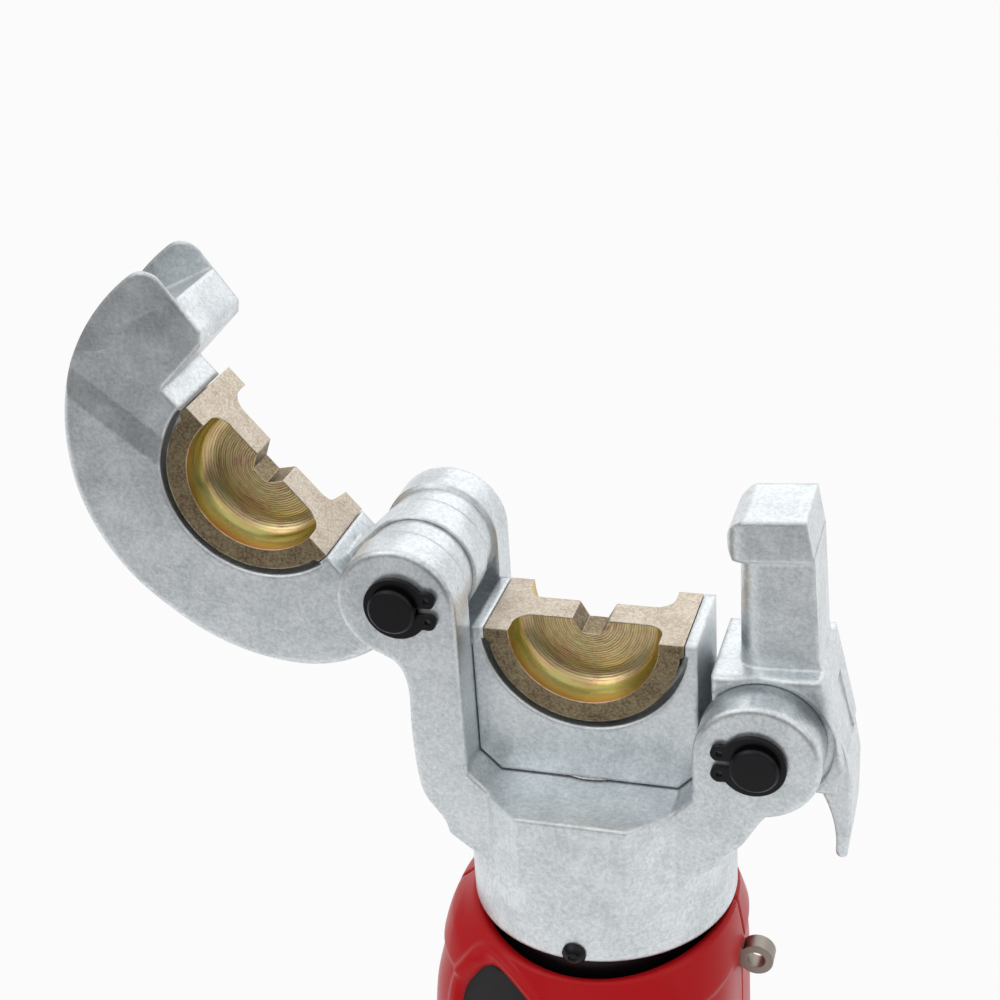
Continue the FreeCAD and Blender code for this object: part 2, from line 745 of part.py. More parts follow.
def make_ram_block():
    """Plated block that carries the lower die and slides between the arms."""
    body = new_body("ram_block")
    half, chamfer = dim("block_half_w"), dim("block_chamfer")
    low = dim("block_bottom") - dim("block_top")
    points = [(-half, low + chamfer), (-half + chamfer, low), (half - chamfer, low), (half, low + chamfer),
              (half, 0)] + seat_outline() + [(-half, 0)]
    pad(body, outline(body, "XZ_Plane", points), dim("block_half_thick") * 2)
    pad(body, outline(body, "XZ_Plane", seat_rib_outline()), dim("seat_rib_half") * 2)
    head_seat = dim("die_r") + dim("ram_head_tall") + 1
    shank = circles(body, "XY_Plane", [(0, 0, dim("ram_screw_r") + dim("thread_gap"))], -head_seat)
    pocket(body, shank, -low, "One side", False)
    head = circles(body, "XY_Plane", [(0, 0, dim("ram_head_r") + dim("thread_gap"))], -head_seat)
    pocket(body, head, dim("ram_head_tall") + 3, "One side", True)
    detent_bore(body, Size(0, "0"), Size(0, "0"), 180 - dim("detent_angle").value)
    place(body, z=dim("collar_height") + dim("block_top"))
    return body


def make_upper_jaw():
    """C-shaped jaw drawn closed, about its hinge, then swung open."""
    body = new_body("upper_jaw")
    cx = dim("hinge_x")
    cz = dim("hinge_drop")
    half = dim("jaw_half_thick")
    top = dim("jaw_top")
    floor, leg, depth = dim("hook_floor"), dim("hook_wall"), dim("hook_depth")
    points = [(cx - 36, cz + dim("slip"))] + jaw_seat(cx, cz) + [
        (cx + dim("die_half_w") + dim("die_seat_gap"), cz + floor),
        (cx + leg, cz + floor),
        (cx + leg + 1.3, cz - depth + 2.6),
        (cx + leg + 3.6, cz - depth),
        (cx + leg + 19, cz - depth - 1.5, 6),
        (cx + leg + 25, cz - depth + 4, 60),
        (cx + leg + 20.2, cz + 16.6, 62),
        (cx + 28.6, cz + top - 6.6, 53),
        (cx - 10.6, cz + top - 1.4, 56),
        (cx - 43.3, cz + top - 19.4, 36),
        (cx - 52, cz + 6.4, 60),
        (cx - 54.6, cz - 4),
    ]
    pad(body, outline(body, "XZ_Plane", points), half * 2)
    round_jaw(body, cx, cz, half)
    for side in (-1, 1):
        set_back(body, cx, cz, half, side)
    clear = dim("hinge_ear_r") + 0.5
    tongue_half = dim("tongue_half")
    for flip in (False, True):
        ring = circles(body, "XZ_Plane", [(0, 0, clear)], -tongue_half if flip else tongue_half)
        pocket(body, ring, half, "One side", not flip)
    hub = dim("tongue_r")
    tongue = [(-hub, 0, -hub), (0, hub), (cx - 30, cz + 9), (hub, 0, -hub), (0, -hub, -hub)]
    pad(body, outline(body, "XZ_Plane", tongue), tongue_half * 2)
    pocket(body, circles(body, "XZ_Plane", [(0, 0, dim("pin_r") + dim("running"))]), half * 4)
    rib = [(cx - point[0], cz - point[1]) + point[2:] for point in seat_rib_outline()]
    pad(body, outline(body, "XZ_Plane", rib), dim("seat_rib_half") * 2)
    px = dim("latch_x") + cx
    pz = -dim("latch_drop")
    channel = [(px + 0.8, pz + 20), (px + 0.8, pz + 25.8), (px + 6.6, pz + 46), (px + 3.5, pz + 46.6),
               (px + 3.5, pz + 52.6), (px + 7.1, pz + 58.1), (px + 30, pz + 60), (px + 30, pz + 20)]
    pocket(body, outline(body, "XZ_Plane", channel), (dim("latch_nose_half") + 0.5) * 2)
    detent_bore(body, cx, cz, -dim("detent_angle").value)
    return body


def round_jaw(body, cx, cz, half):
    """Rounds the long outer edges of the jaw, well away from its seat and its leg's end."""

    def outer_edge(edge):
        box = edge.BoundBox
        if box.YLength > 0.01 or abs(abs(box.YMin) - half.value) > 0.01:
            return False
        middle = edge.valueAt((edge.FirstParameter + edge.LastParameter) / 2)
        far = math.hypot(middle.x - cx.value, middle.z - cz.value) > dim("jaw_top").value - 6
        return far and isinstance(edge.Curve, Part.Circle)

    round_edges(body, dim("jaw_round"), outer_edge)


def set_back(body, cx, cz, half, side):
    """Sets one face of the hook end back, with a slope that runs from the seat to the jaw's back."""
    deep, slope = dim("jaw_set_back"), dim("jaw_slope")
    edge, low = half * side, half * side - deep * side
    points = [(edge + side, 0), (edge, 0), (low, -slope), (low, -slope - 70), (edge + side, -slope - 70)]
    sketch = outline(body, "YZ_Plane", points)
    turn = FreeCAD.Rotation(AXIS_X, -11.1)
    start_x, start_z = cx + 17, cz + 17.8
    spot = FreeCAD.Vector(0, start_z.value, start_x.value)
    sketch.AttachmentOffset = FreeCAD.Placement(spot, turn)
    bind(sketch, "AttachmentOffset.Base.y", start_z)
    bind(sketch, "AttachmentOffset.Base.z", start_x)
    pocket(body, sketch, dim("jaw_top") + 30, "One side", True)


def jaw_seat(cx, cz):
    """The seat's outline turned over for the jaw, from the hinge side to the latch side."""
    points = [(cx - point[0], cz - point[1]) + tuple(point[2:]) for point in seat_outline()]
    points[0] = (points[0][0], cz + dim("slip"))
    return points[:-1]


def swing_open(body):
    place(body, -dim("hinge_x"), 0, dim("collar_height") + dim("hinge_up"), -dim("open_angle"))


def place_in_jaw(body, across, up, turn):
    """Places a sub-part given in the closed jaw, measured from the hinge, as the jaw lies open."""
    angle = -dim("open_angle")
    x = across * cosine(angle) + up * sine(angle) - dim("hinge_x")
    z = up * cosine(angle) - across * sine(angle) + dim("collar_height") + dim("hinge_up")
    place(body, x, 0, z, angle + turn)


def make_dies():
    """Two identical half dies, the upper one turned over in the open jaw."""
    lower = make_die("lower_die")
    place(lower, z=dim("collar_height") + dim("block_top"))
    upper = make_die("upper_die")
    place_in_jaw(upper, dim("hinge_x"), dim("hinge_drop"), 180)


def make_detent(label):
    """Spring plunger with a round nose, standing on its local Z axis with the nose up."""
    body = new_body(label)
    radius, tall = dim("detent_r"), dim("detent_long")
    nose = radius - 1
    points = [(0, -tall), (radius, -tall), (radius, -1), (nose, -1), (nose, -0.5), (nose - 0.5, 0), (0, 0)]
    revolve(body, outline(body, "XZ_Plane", points))
    return body


def make_detents():
    angle = dim("detent_angle")
    reach = dim("die_r") + dim("slip")
    lower = make_detent("lower_die_detent")
    place(lower, reach * sine(angle), 0, dim("collar_height") + dim("block_top") - reach * cosine(angle), -angle)
    upper = make_detent("upper_die_detent")
    up = dim("hinge_drop") + reach * cosine(angle)
    place_in_jaw(upper, dim("hinge_x") - reach * sine(angle), up, as_size(180) - angle)


def make_ram_screw():
    """Socket screw from the die seat down into the rod."""
    head_r, shank_r = dim("ram_head_r"), dim("ram_screw_r")
    tall = dim("ram_head_tall")
    seat = dim("die_r") + tall + 1
    long = dim("block_top") - dim("block_bottom") - seat + dim("ram_screw_bite") - dim("slip")
    points = [(0, tall - 3.4), (2.8, tall - 3.4), (2.8, tall), (head_r - 0.6, tall), (head_r, tall - 0.6),
              (head_r, 0), (shank_r, 0), (shank_r, -long + 1), (shank_r - 1, -long), (0, -long)]
    return turned("ram_screw", points, z=dim("collar_height") + dim("block_top") - seat)


def make_latch():
    """Pivoting latch: block round the pin, upright stem with a hooked nose, and a thumb lever."""
    body = new_body("latch")
    left, top = dim("latch_left"), dim("latch_block_top")
    barrel = dim("latch_barrel_half")
    thick = dim("latch_half_thick")
    profile = [
        (-left, -3), (-left, top), (14, top + 1.5), (19.5, -6), (18, -13),
        (12, -12.5), (4, -12.6, -12.8), (-8, -10),
    ]
    pad(body, outline(body, "XZ_Plane", profile), thick * 2)
    round_edges(body, dim("latch_edge"), lambda edge: on_side(edge, thick) and edge.BoundBox.ZMax > 1)
    for flip in (False, True):
        ring = circles(body, "XZ_Plane", [(0, 0, dim("latch_recess_r"))], -barrel if flip else barrel)
        pocket(body, ring, thick - barrel + 1, "One side", not flip)
    low = dim("latch_lever_low")
    half = dim("latch_lever_half")
    lever = [(8, -8), (17, 4), (19.8, -6), (21.3, -14), (21.2, -low + 8), (20.4, -low, -1.6), (17.6, -low + 0.8, 33),
             (11.5, -12)]
    pad(body, outline(body, "XZ_Plane", lever), half * 2)
    round_edges(body, dim("latch_edge"), lambda edge: on_side(edge, half) and edge.BoundBox.ZMax < -13.5)
    grip = outline(body, "XZ_Plane", [(15.3, 10), (19.3, -6), (24, -6), (24, 10)])
    pocket(body, grip, dim("latch_grip_half") * 2)
    under = dim("latch_nose_low")
    stem_half = dim("latch_stem_half")
    stem = [(-6.8, top - 2), (-6.8, under + 2), (11.4, under + 2), (12.8, top + 4), (14, top - 2)]
    pad(body, outline(body, "XZ_Plane", stem), stem_half * 2)

    def stem_corner(edge):
        box = edge.BoundBox
        return on_side(edge, stem_half) and box.XMax < -6 and box.ZLength > 20

    round_edges(body, dim("latch_stem_round"), stem_corner)
    high = under + dim("latch_nose_tall")
    nose_half = dim("latch_nose_half")
    nose = [(-8, under - 0.6), (11.4, under + 0.8), (9.4, high), (-5.2, high - 1, 7)]
    pad(body, outline(body, "XZ_Plane", nose), nose_half * 2)
    bend, tip = dim("latch_nose_round"), as_size(-9.8)
    for side in (-1, 1):
        inner, outer = (nose_half - bend) * side, nose_half * side
        corner = [(tip - 5, inner), (tip, inner, -bend * side), (tip + bend, outer),
                  (tip + bend, outer + side * 2), (tip - 5, outer + side * 2)]
        sketch = outline(body, "XY_Plane", corner, under - 1)
        pocket(body, sketch, dim("latch_nose_tall") + 4, "One side", True)
    bore = dim("pin_r") + dim("running")
    pocket(body, circles(body, "XZ_Plane", [(0, 0, bore)]), thick * 3)
    room, reach = dim("latch_spring_half"), dim("latch_spring_r")
    revolve(body, outline(body, "XY_Plane", box_outline(bore - 1, reach, -room, room)), "Groove")
    place(body, dim("latch_x"), 0, dim("collar_height") + dim("latch_up"))
    return body


def on_side(edge, half):
    """True for an edge that lies in either side face of a piece that is half thick each way."""
    box = edge.BoundBox
    return box.YLength < 0.01 and abs(abs(box.YMin) - half.value) < 0.01


def make_latch_spring():
    """Torsion spring coiled round the latch pin, inside the latch's barrel."""
    wire = 0.7
    radius = (dim("pin_r") + dim("running") + dim("latch_spring_r")) / 2
    length = dim("latch_spring_half") * 2
    shape = coil_shape(float(radius), wire, float(length), 4)
    spring = doc.addObject("Part::Feature", "latch_spring")
    spring.Label = "latch_spring"
    spring.Shape = shape
    base = FreeCAD.Vector(dim("latch_x").value, dim("latch_spring_half").value, (dim("collar_height") + dim("latch_up")).value)
    spring.Placement = FreeCAD.Placement(base, FreeCAD.Rotation(AXIS_X, 90))
    bind(spring, "Placement.Base.x", dim("latch_x"))
    bind(spring, "Placement.Base.y", dim("latch_spring_half"))
    bind(spring, "Placement.Base.z", dim("collar_height") + dim("latch_up"))


def coil_shape(radius, wire, length, turns):
    """Round wire wound about Z from 0 to length."""
    slack = float(dim("slip")) / 2
    tall = length - 2 * wire - 2 * slack
    helix = Part.makeHelix(tall / turns, tall, radius)
    section = Part.Wire([Part.Circle(FreeCAD.Vector(radius, 0, 0), AXIS_Y, wire).toShape()])
    winding = Part.Wire(helix.Edges).makePipeShell([section], True, True)
    winding.translate(FreeCAD.Vector(0, 0, wire + slack))
    return Part.makeCompound([winding])


def coil(label, radius, wire, length, turns, x=0, y=0, z=0, turn_y=None):
    spring = doc.addObject("Part::Feature", label)
    spring.Label = label
    spring.Shape = coil_shape(float(radius), wire, float(length), turns)
    place(spring, x, y, z, turn_y)
    return spring


def make_cylinder():
    """Black pressure cylinder, closed below, seen as a dark ring under the collar."""
    body = new_body("cylinder")
    radius, bore = dim("cylinder_r"), dim("piston_r") + dim("running")
    low, base = dim("cylinder_low"), dim("cylinder_base")
    top = dim("deck_top") - dim("deck_thick") - dim("slip")
    groove, screw_up = dim("swivel_groove"), dim("collar_screw_up")
    points = [(0, -low), (radius, -low), (radius, screw_up - 2.6), (radius - groove, screw_up - 2.6),
              (radius - groove, screw_up + 2.6), (radius, screw_up + 2.6), (radius, top - 1),
              (radius - 1, top), (bore, top), (bore, -low + base), (0, -low + base)]
    revolve(body, outline(body, "XZ_Plane", points))
    valve = circles(body, "YZ_Plane", [(0, -low + base / 2, dim("valve_r") + dim("thread_gap"))],
                    -radius - 1)
    pocket(body, valve, dim("valve_deep") + 1, "One side", True)
    place(body, z=dim("collar_height"))
    return body


def make_relief_valve():
    """Valve cartridge in the cylinder's base, pressed by the release button."""
    body = new_body("relief_valve")
    radius, deep = dim("valve_r"), dim("valve_deep")
    start = dim("cylinder_r")
    pad(body, circles(body, "YZ_Plane", [(0, 0, radius)], -start - 1), deep + 1 - dim("slip"), "One side")
    pad(body, circles(body, "YZ_Plane", [(0, 0, radius + 1)], -start - 2), 2 - dim("slip") / 3, "One side")
    pad(body, circles(body, "YZ_Plane", [(0, 0, 1.6)], -start - 5), 4, "One side")
    place(body, z=release_level())
    return body


def release_level():
    return dim("collar_height") - dim("cylinder_low") + dim("cylinder_base") / 2


def make_piston():
    """Piston and rod in one, with a seal groove in the head and a threaded hole for the block's screw."""
    radius, rod = dim("piston_r"), dim("rod_r")
    low = dim("cylinder_base") - dim("cylinder_low") + dim("slip")
    tall = dim("piston_tall")
    top = dim("block_bottom")
    hole = dim("ram_screw_r") + dim("thread_gap")
    bite = dim("ram_screw_bite")
    points = [(0, low), (radius - 1, low), (radius, low + 1), (radius, low + 5), (radius - 4, low + 5),
              (radius - 4, low + 9.4), (radius, low + 9.4), (radius, low + tall), (rod, low + tall),
              (rod, top), (hole, top), (hole, top - bite), (0, top - bite - 2)]
    return turned("piston", points, z=dim("collar_height"))


def make_rod_bush():
    """Bronze guide bush round the rod, pressed into the underside of the deck."""
    ceiling = dim("deck_top") - dim("deck_thick")
    inner = dim("rod_r") + dim("running")
    points = [(inner, 0), (dim("bush_r"), 0), (dim("bush_r"), dim("bush_tall")), (inner, dim("bush_tall"))]
    return turned("rod_bush", points, z=dim("collar_height") + ceiling)


def make_piston_seal():
    radius = dim("piston_r")
    low = dim("cylinder_base") - dim("cylinder_low") + dim("slip")
    points = [(radius - 3.8, low + 5.2), (radius - 0.1, low + 5.2), (radius - 0.1, low + 9.2),
              (radius - 3.8, low + 9.2)]
    return turned("piston_seal", points, z=dim("collar_height"))


def make_return_spring():
    """Compression spring round the rod that pulls the ram back."""
    low = dim("cylinder_base") - dim("cylinder_low") + dim("slip") + dim("piston_tall")
    high = dim("deck_top") - dim("deck_thick")
    coil("return_spring", dim("rod_r") + 5.2, 2.0, high - low, 7, z=dim("collar_height") + low)


def make_pump_block():
    """Round pump block under the cylinder with a cavity for the eccentric."""
    radius, tall, cavity = dim("pump_r"), dim("pump_tall"), dim("pump_cavity_r")
    points = [(cavity, -tall), (radius, -tall), (radius, 0), (0, 0), (0, -6), (cavity, -6)]
    body = new_body("pump_block")
    revolve(body, outline(body, "XZ_Plane", points))
    bore = circles(body, "YZ_Plane", [(0, -tall / 2, dim("plunger_r") + 0.03)])
    pocket(body, bore, radius * 2, "One side", True)
    place(body, z=dim("collar_height") - dim("cylinder_low") - dim("slip") / 3)
    return body


def pump_level():
    return dim("collar_height") - dim("cylinder_low") - dim("slip") / 3 - dim("pump_tall") / 2


def make_pump_plunger():
    """Hardened plunger in the block's cross bore, its spring and the plug that closes the bore."""
    radius = dim("plunger_r")
    start = dim("eccentric_bearing_r") + dim("eccentric_offset") + dim("slip")
    long, plug = dim("plunger_long"), dim("plug_long")
    body = new_body("pump_plunger")
    pad(body, circles(body, "YZ_Plane", [(0, 0, radius)], start), long, "One side")
    place(body, z=pump_level())
    cap = new_body("pump_plug")
    pad(cap, circles(cap, "YZ_Plane", [(0, 0, radius)], dim("pump_r") - plug), plug, "One side")
    place(cap, z=pump_level())
    room = dim("pump_r") - plug - start - long
    coil("plunger_spring", radius - 1, 0.6, room, 4, x=start + long, z=pump_level(), turn_y=90)


def make_bladder():
    """Rubber oil reservoir round the pump block, with a clamp at each end."""
    inner = dim("pump_r") + dim("slip")
    lip, bulge, tall = dim("bladder_wall"), dim("bladder_bulge"), dim("bladder_tall")
    band = dim("clamp_tall") + 1
    points = [(inner, 0), (inner + lip, 0), (inner + lip, band), (inner + bulge, band + 3, 60),
              (inner + bulge, tall - band - 3), (inner + lip, tall - band), (inner + lip, tall), (inner, tall)]
    level = pump_level() - tall / 2
    turned("oil_bladder", points, z=level)
    ring = dim("clamp_tall")
    rings = []
    for up in (0.5, float(tall - ring) - 0.5):
        outer = Part.makeCylinder(float(inner + lip) + 1.4, float(ring), FreeCAD.Vector(0, 0, up))
        rings.append(outer.cut(Part.makeCylinder(float(inner + lip), 60, FreeCAD.Vector(0, 0, -1))))
    shape_part("bladder_clamps", Part.makeCompound(rings), z=level)


def make_motor_line():
    """Motor, gearbox and eccentric in line below the pump block."""
    pump_bottom = dim("cylinder_low") + dim("slip") / 3 + dim("pump_tall")
    gear_top = pump_bottom + dim("slip") / 3
    gear_r, gear_tall = dim("gearbox_r"), dim("gearbox_tall")
    gear_bore = dim("eccentric_r") + dim("running") * 4
    turned("gearbox", [(gear_bore, -gear_tall + 5), (gear_bore, 0), (gear_r, 0), (gear_r, -gear_tall),
                       (6, -gear_tall), (6, -gear_tall + 5)], z=dim("collar_height") - gear_top)
    motor_top = gear_top + gear_tall + 0.1
    motor_r, motor_tall = dim("motor_r"), dim("motor_tall")
    shaft_r = dim("shaft_r")
    bore = shaft_r + dim("running") * 2
    turned("motor", [(bore, 0), (motor_r - 1, 0), (motor_r, -1), (motor_r, -motor_tall + 3),
                     (motor_r - 3, -motor_tall), (0, -motor_tall), (0, -motor_tall + 3), (bore, -motor_tall + 3)],
           z=dim("collar_height") - motor_top)
    turned("motor_shaft", [(0, 4.6), (shaft_r + 2, 4.6), (shaft_r + 2, 0.4), (shaft_r, 0.4),
                           (shaft_r, -motor_tall + 3.3), (0, -motor_tall + 3.3)],
           z=dim("collar_height") - motor_top)
    body = new_body("eccentric_shaft")
    pad(body, circles(body, "XY_Plane", [(0, 0, dim("eccentric_r"))], -gear_tall + 5.5), gear_tall + 2, "One side")
    pad(body, circles(body, "XY_Plane", [(-dim("eccentric_offset"), 0, dim("eccentric_r") - 0.6)], 7),
        dim("pump_tall") - 16, "One side")
    place(body, z=dim("collar_height") - gear_top)
    ring = new_body("eccentric_bearing")
    pad(ring, circles(ring, "XY_Plane", [(-dim("eccentric_offset"), 0, dim("eccentric_bearing_r")),
                                         (-dim("eccentric_offset"), 0, dim("eccentric_r") - 0.55)], 8),
        dim("pump_tall") - 18, "One side")
    place(ring, z=dim("collar_height") - gear_top)


def housing_solid(inset):
    """The housing's outside, or its inside when inset is the wall's thickness."""
    grow = float(inset)
    top = -float(dim("shell_top")) - grow
    left, right = float(dim("shoulder_left")) - grow, float(dim("shoulder_right")) - grow
    low = -float(dim("upper_low")) + grow
    grip_left, grip_right = float(dim("grip_left")) - grow, float(dim("grip_right")) - grow
    grip_low = -float(dim("grip_low"))
    foot_left, foot_right = float(dim("foot_left")) - grow, float(dim("foot_right")) - grow
    foot_low = -float(dim("foot_low")) + grow
    side = [
        (-left + 15, top), (-left + 9, top - 1.2), (-left + 3, top - 12), (-left, top - 21), (-left + 2, low + 14),
        (-left + 9, low), (-grip_left - 3, low - 14), (-grip_left, low - 30), (-grip_left, grip_low),
        (-foot_left + 6, grip_low - 12), (-foot_left, grip_low - 18), (-foot_left, foot_low),
        (foot_right, foot_low), (foot_right, grip_low - 18), (foot_right - 5, grip_low - 12),
        (grip_right, grip_low), (grip_right, low - 24), (right, low - 4), (right, top - 8), (right - 4, top - 1),
        (right - 8, top),
    ]
    half = float(dim("shell_half_y")) - grow
    grip_half, foot_half = float(dim("grip_half_y")) - grow, float(dim("foot_half_y")) - grow
    across = [
        (-half + 5, top), (-half, top - 15), (-half, low + 4), (-grip_half, low - 26), (-grip_half, grip_low),
        (-foot_half, grip_low - 16), (-foot_half, foot_low), (foot_half, foot_low), (foot_half, grip_low - 16),
        (grip_half, grip_low), (grip_half, low - 26), (half, low + 4), (half, top - 15), (half - 5, top),
    ]
    first = slab(side, -60, 60)
    spots = [FreeCAD.Vector(-90, py, pz) for py, pz in across]
    second = Part.Face(Part.makePolygon(spots + [spots[0]])).extrude(FreeCAD.Vector(180, 0, 0))
    upper = [(-left, -half + 16), (-left + 14, -half), (right - 14, -half), (right, -half + 18),
             (right, half - 18), (right - 14, half), (-left + 14, half), (-left, half - 16)]
    grip = grip_plan(-grow)
    foot = [(-foot_left, -foot_half + 9), (-foot_left + 8, -foot_half), (foot_right - 8, -foot_half),
            (foot_right, -foot_half + 9), (foot_right, foot_half - 9), (foot_right - 8, foot_half),
            (-foot_left + 8, foot_half), (-foot_left, foot_half - 9)]

    def ring_wire(points, z):
        spots = [FreeCAD.Vector(px, py, z) for px, py in points]
        return Part.makePolygon(spots + [spots[0]])

    plan = prism(upper, low, top)
    neck = Part.makeLoft([ring_wire(grip, low - 26), ring_wire(upper, low)], True, True)
    handle = prism(grip, grip_low, low - 26)
    flare = Part.makeLoft([ring_wire(foot, grip_low - 16), ring_wire(grip, grip_low)], True, True)
    base = prism(foot, foot_low, grip_low - 16)
    plan = plan.fuse([neck, handle, flare, base])
    low_point = top - float(dim("shell_dip"))
    wide = float(dim("shoulder_right"))
    dip_r = (wide ** 2 + float(dim("shell_dip")) ** 2) / (2 * float(dim("shell_dip")))
    dip = rod_y(dip_r, -60, 60, 0, low_point + dip_r)
    return first.common(second).common(plan).cut(dip).removeSplitter()


def grip_plan(grow):
    """The handle's outline from above, with cut corners, grown on every side."""
    left, right = float(dim("grip_left")) + grow, float(dim("grip_right")) + grow
    half = float(dim("grip_half_y")) + grow
    return [(-left, -half + 7), (-left + 6, -half), (right - 6, -half), (right, -half + 7),
            (right, half - 7), (right - 6, half), (-left + 6, half), (-left, half - 7)]


def inlay_outline(grow):
    """The soft panel's outline on the shell's side: high at the trigger side, falling to the other."""
    left, right = float(dim("shoulder_left")) - 20 + grow, float(dim("shoulder_right")) - 13 + grow
    top, low = -float(dim("shell_top")) - 17 + grow, -float(dim("upper_low")) + 16 - grow
    return [(-left + 3, top), (-left + 13, top - 1), (-left + 24, top - 10), (right - 12, top - 19),
            (right, top - 26), (right, low + 10), (right - 8, low), (-left + 8, low), (-left, low + 10),
            (-left, top - 4)]


def make_soft_parts():
    """Rubber panels let into the shells' sides, and the rubber sleeve round the handle."""
    half = dim("shell_half_y")
    thick = dim("inlay_thick")
    for label, side in (("grip_inlay_front", -1), ("grip_inlay_back", 1)):
        ends = sorted((float(half - dim("slip") * 3) * side, float(half - thick - dim("slip") * 2) * side))
        shape_part(label, slab(inlay_outline(-float(dim("inlay_gap"))), ends[0], ends[1]), z=dim("collar_height"))
    low = -float(dim("grip_low")) + 4
    high = low + float(dim("sleeve_tall"))
    sleeve = prism(grip_plan(float(dim("sleeve_thick"))), low, high)
    sleeve = sleeve.cut(prism(grip_plan(float(dim("running"))), low - 1, high + 1))
    for x, down in screw_spots():
        sleeve = sleeve.cut(rod_y(dim("shell_screw_r") + 1.7, 0, half, x, -down))
    shape_part("grip_sleeve", sleeve, z=dim("collar_height"))


def screw_spots():
    """Middle of each shell screw, as X and depth below the collar."""
    left, right = dim("shoulder_left"), dim("shoulder_right")
    wall = dim("wall")
    return [
        (-left + wall + 6.5, dim("neck_screw_down")),
        (right - wall - 1.6, dim("upper_low") - 8),
        (-dim("grip_left") + wall + 2.4, dim("grip_low") - 30),
        (dim("grip_right") - wall - 1.5, dim("grip_low") - 50),
        (-dim("foot_left") + 17, dim("foot_low") - 14),
        (dim("foot_right") - 13, dim("foot_low") - 14),
    ]


def make_housings():
    """Two moulded shells that meet on the plane of the jaws, with screw posts and the battery slide."""
    outer = housing_solid(0)
    inner = housing_solid(dim("wall"))
    foot_low = float(dim("foot_low"))
    posts = []
    screw_r = float(dim("shell_screw_r"))
    for x, down in screw_spots():
        posts.append(rod_y(screw_r + 2.9, -60, 60, x, -down))
    slide_box = block((-float(dim("foot_left")) + 6, -26, -foot_low), (float(dim("foot_right")), 26, -foot_low + 10))
    filled = outer.common(posts[0].fuse(posts[1:] + [slide_box]))
    filled = filled.cut(rod_z(dim("motor_r") + dim("slip"), -220, -126))
    filled = filled.cut(rod_z(dim("pump_r") + 3.3, -126, -60))
    shell = outer.cut(inner).fuse(filled)
    shell = shell.cut(rod_z(dim("cylinder_r") + dim("neck_gap"), -40, 10))
    reach = float(dim("foot_left")) + 5
    neck, head = float(dim("rail_neck")) + 0.4, float(dim("rail_head")) + 0.4
    shell = shell.cut(block((-reach, -neck, -foot_low - 1), (reach, neck, -foot_low + 3)))
    shell = shell.cut(block((-reach, -head, -foot_low + float(dim("rail_lip")) - 0.4), (reach, head, -foot_low + 7)))
    trigger_top = trigger_down()
    shell = shell.cut(block((-reach, -8.3, -float(trigger_top) - 33), (-float(dim("shoulder_left")) + 12, 8.3, -float(trigger_top))))
    button = float(dim("cylinder_low") - dim("cylinder_base") / 2)
    start = FreeCAD.Vector(-reach, 0, -button)
    release = Part.makeCylinder(float(dim("release_r") + dim("slip")), reach - float(dim("cylinder_r")), start, AXIS_X)
    shell = shell.cut(release)
    thick, down = float(dim("eye_thick")), float(dim("eye_down"))
    shell = shell.cut(block((30, -thick / 2 - 0.1, -down - 3.6), (60, thick / 2 + 0.1, -down + 3.6)))
    panel = float(dim("shell_half_y")) - float(dim("inlay_thick") + dim("slip") * 2)
    recess = slab(inlay_outline(0), -90, -panel + 0.1).fuse(slab(inlay_outline(0), panel - 0.1, 90))
    shell = shell.cut(recess)
    for x, depth in screw_spots():
        shell = shell.cut(rod_y(screw_r + 0.05, -12, 60, x, -depth))
        shell = shell.cut(rod_y(screw_r + 1.6, screw_head_y(), 60, x, -depth))
    for label, low, high in (("housing_front", -90, -0.05), ("housing_back", 0.05, 90)):
        half = shell.common(block((-120, low, -400), (120, high, 60)))
        shape_part(label, half.removeSplitter(), z=dim("collar_height"))


def trigger_down():
    return dim("cylinder_low") - dim("cylinder_base") / 2 + 14


def screw_head_y():
    return float(dim("grip_half_y")) - 9


def make_housing_screws():
    """Shell screws, driven from the back into the front shell's posts."""
    radius = float(dim("shell_screw_r"))
    seat = screw_head_y()
    screws = []
    for x, down in screw_spots():
        shank = rod_y(radius, -10, seat, x, -down)
        head = rod_y(radius + 1.4, seat + 0.1, seat + 2.1, x, -down)
        screws.append(shank.fuse([head, rod_y(radius, seat - 0.5, seat + 0.6, x, -down)]).removeSplitter())
    shape_part("housing_screws", Part.makeCompound(screws), z=dim("collar_height"))


def make_strap_eye():
    """Steel eye held between the shells at the neck."""
    x, down = dim("eye_x"), dim("eye_down")
    thick = dim("eye_thick")
    ring = rod_y(dim("eye_r"), -thick / 2, thick / 2, x, -down)
    shank = block((float(x) - 7.0, -thick / 2, -down - 3), (x, thick / 2, -down + 3))
    shape = ring.fuse(shank).cut(rod_y(dim("eye_hole_r"), -10, 10, x, -down))
    foot = block((float(x) - 8.2, -6, -down - 5), (float(x) - 6.2, 6, -down + 3.0))
    shape = shape.fuse(foot)
    return shape_part("strap_eye", shape.removeSplitter(), z=dim("collar_height"))


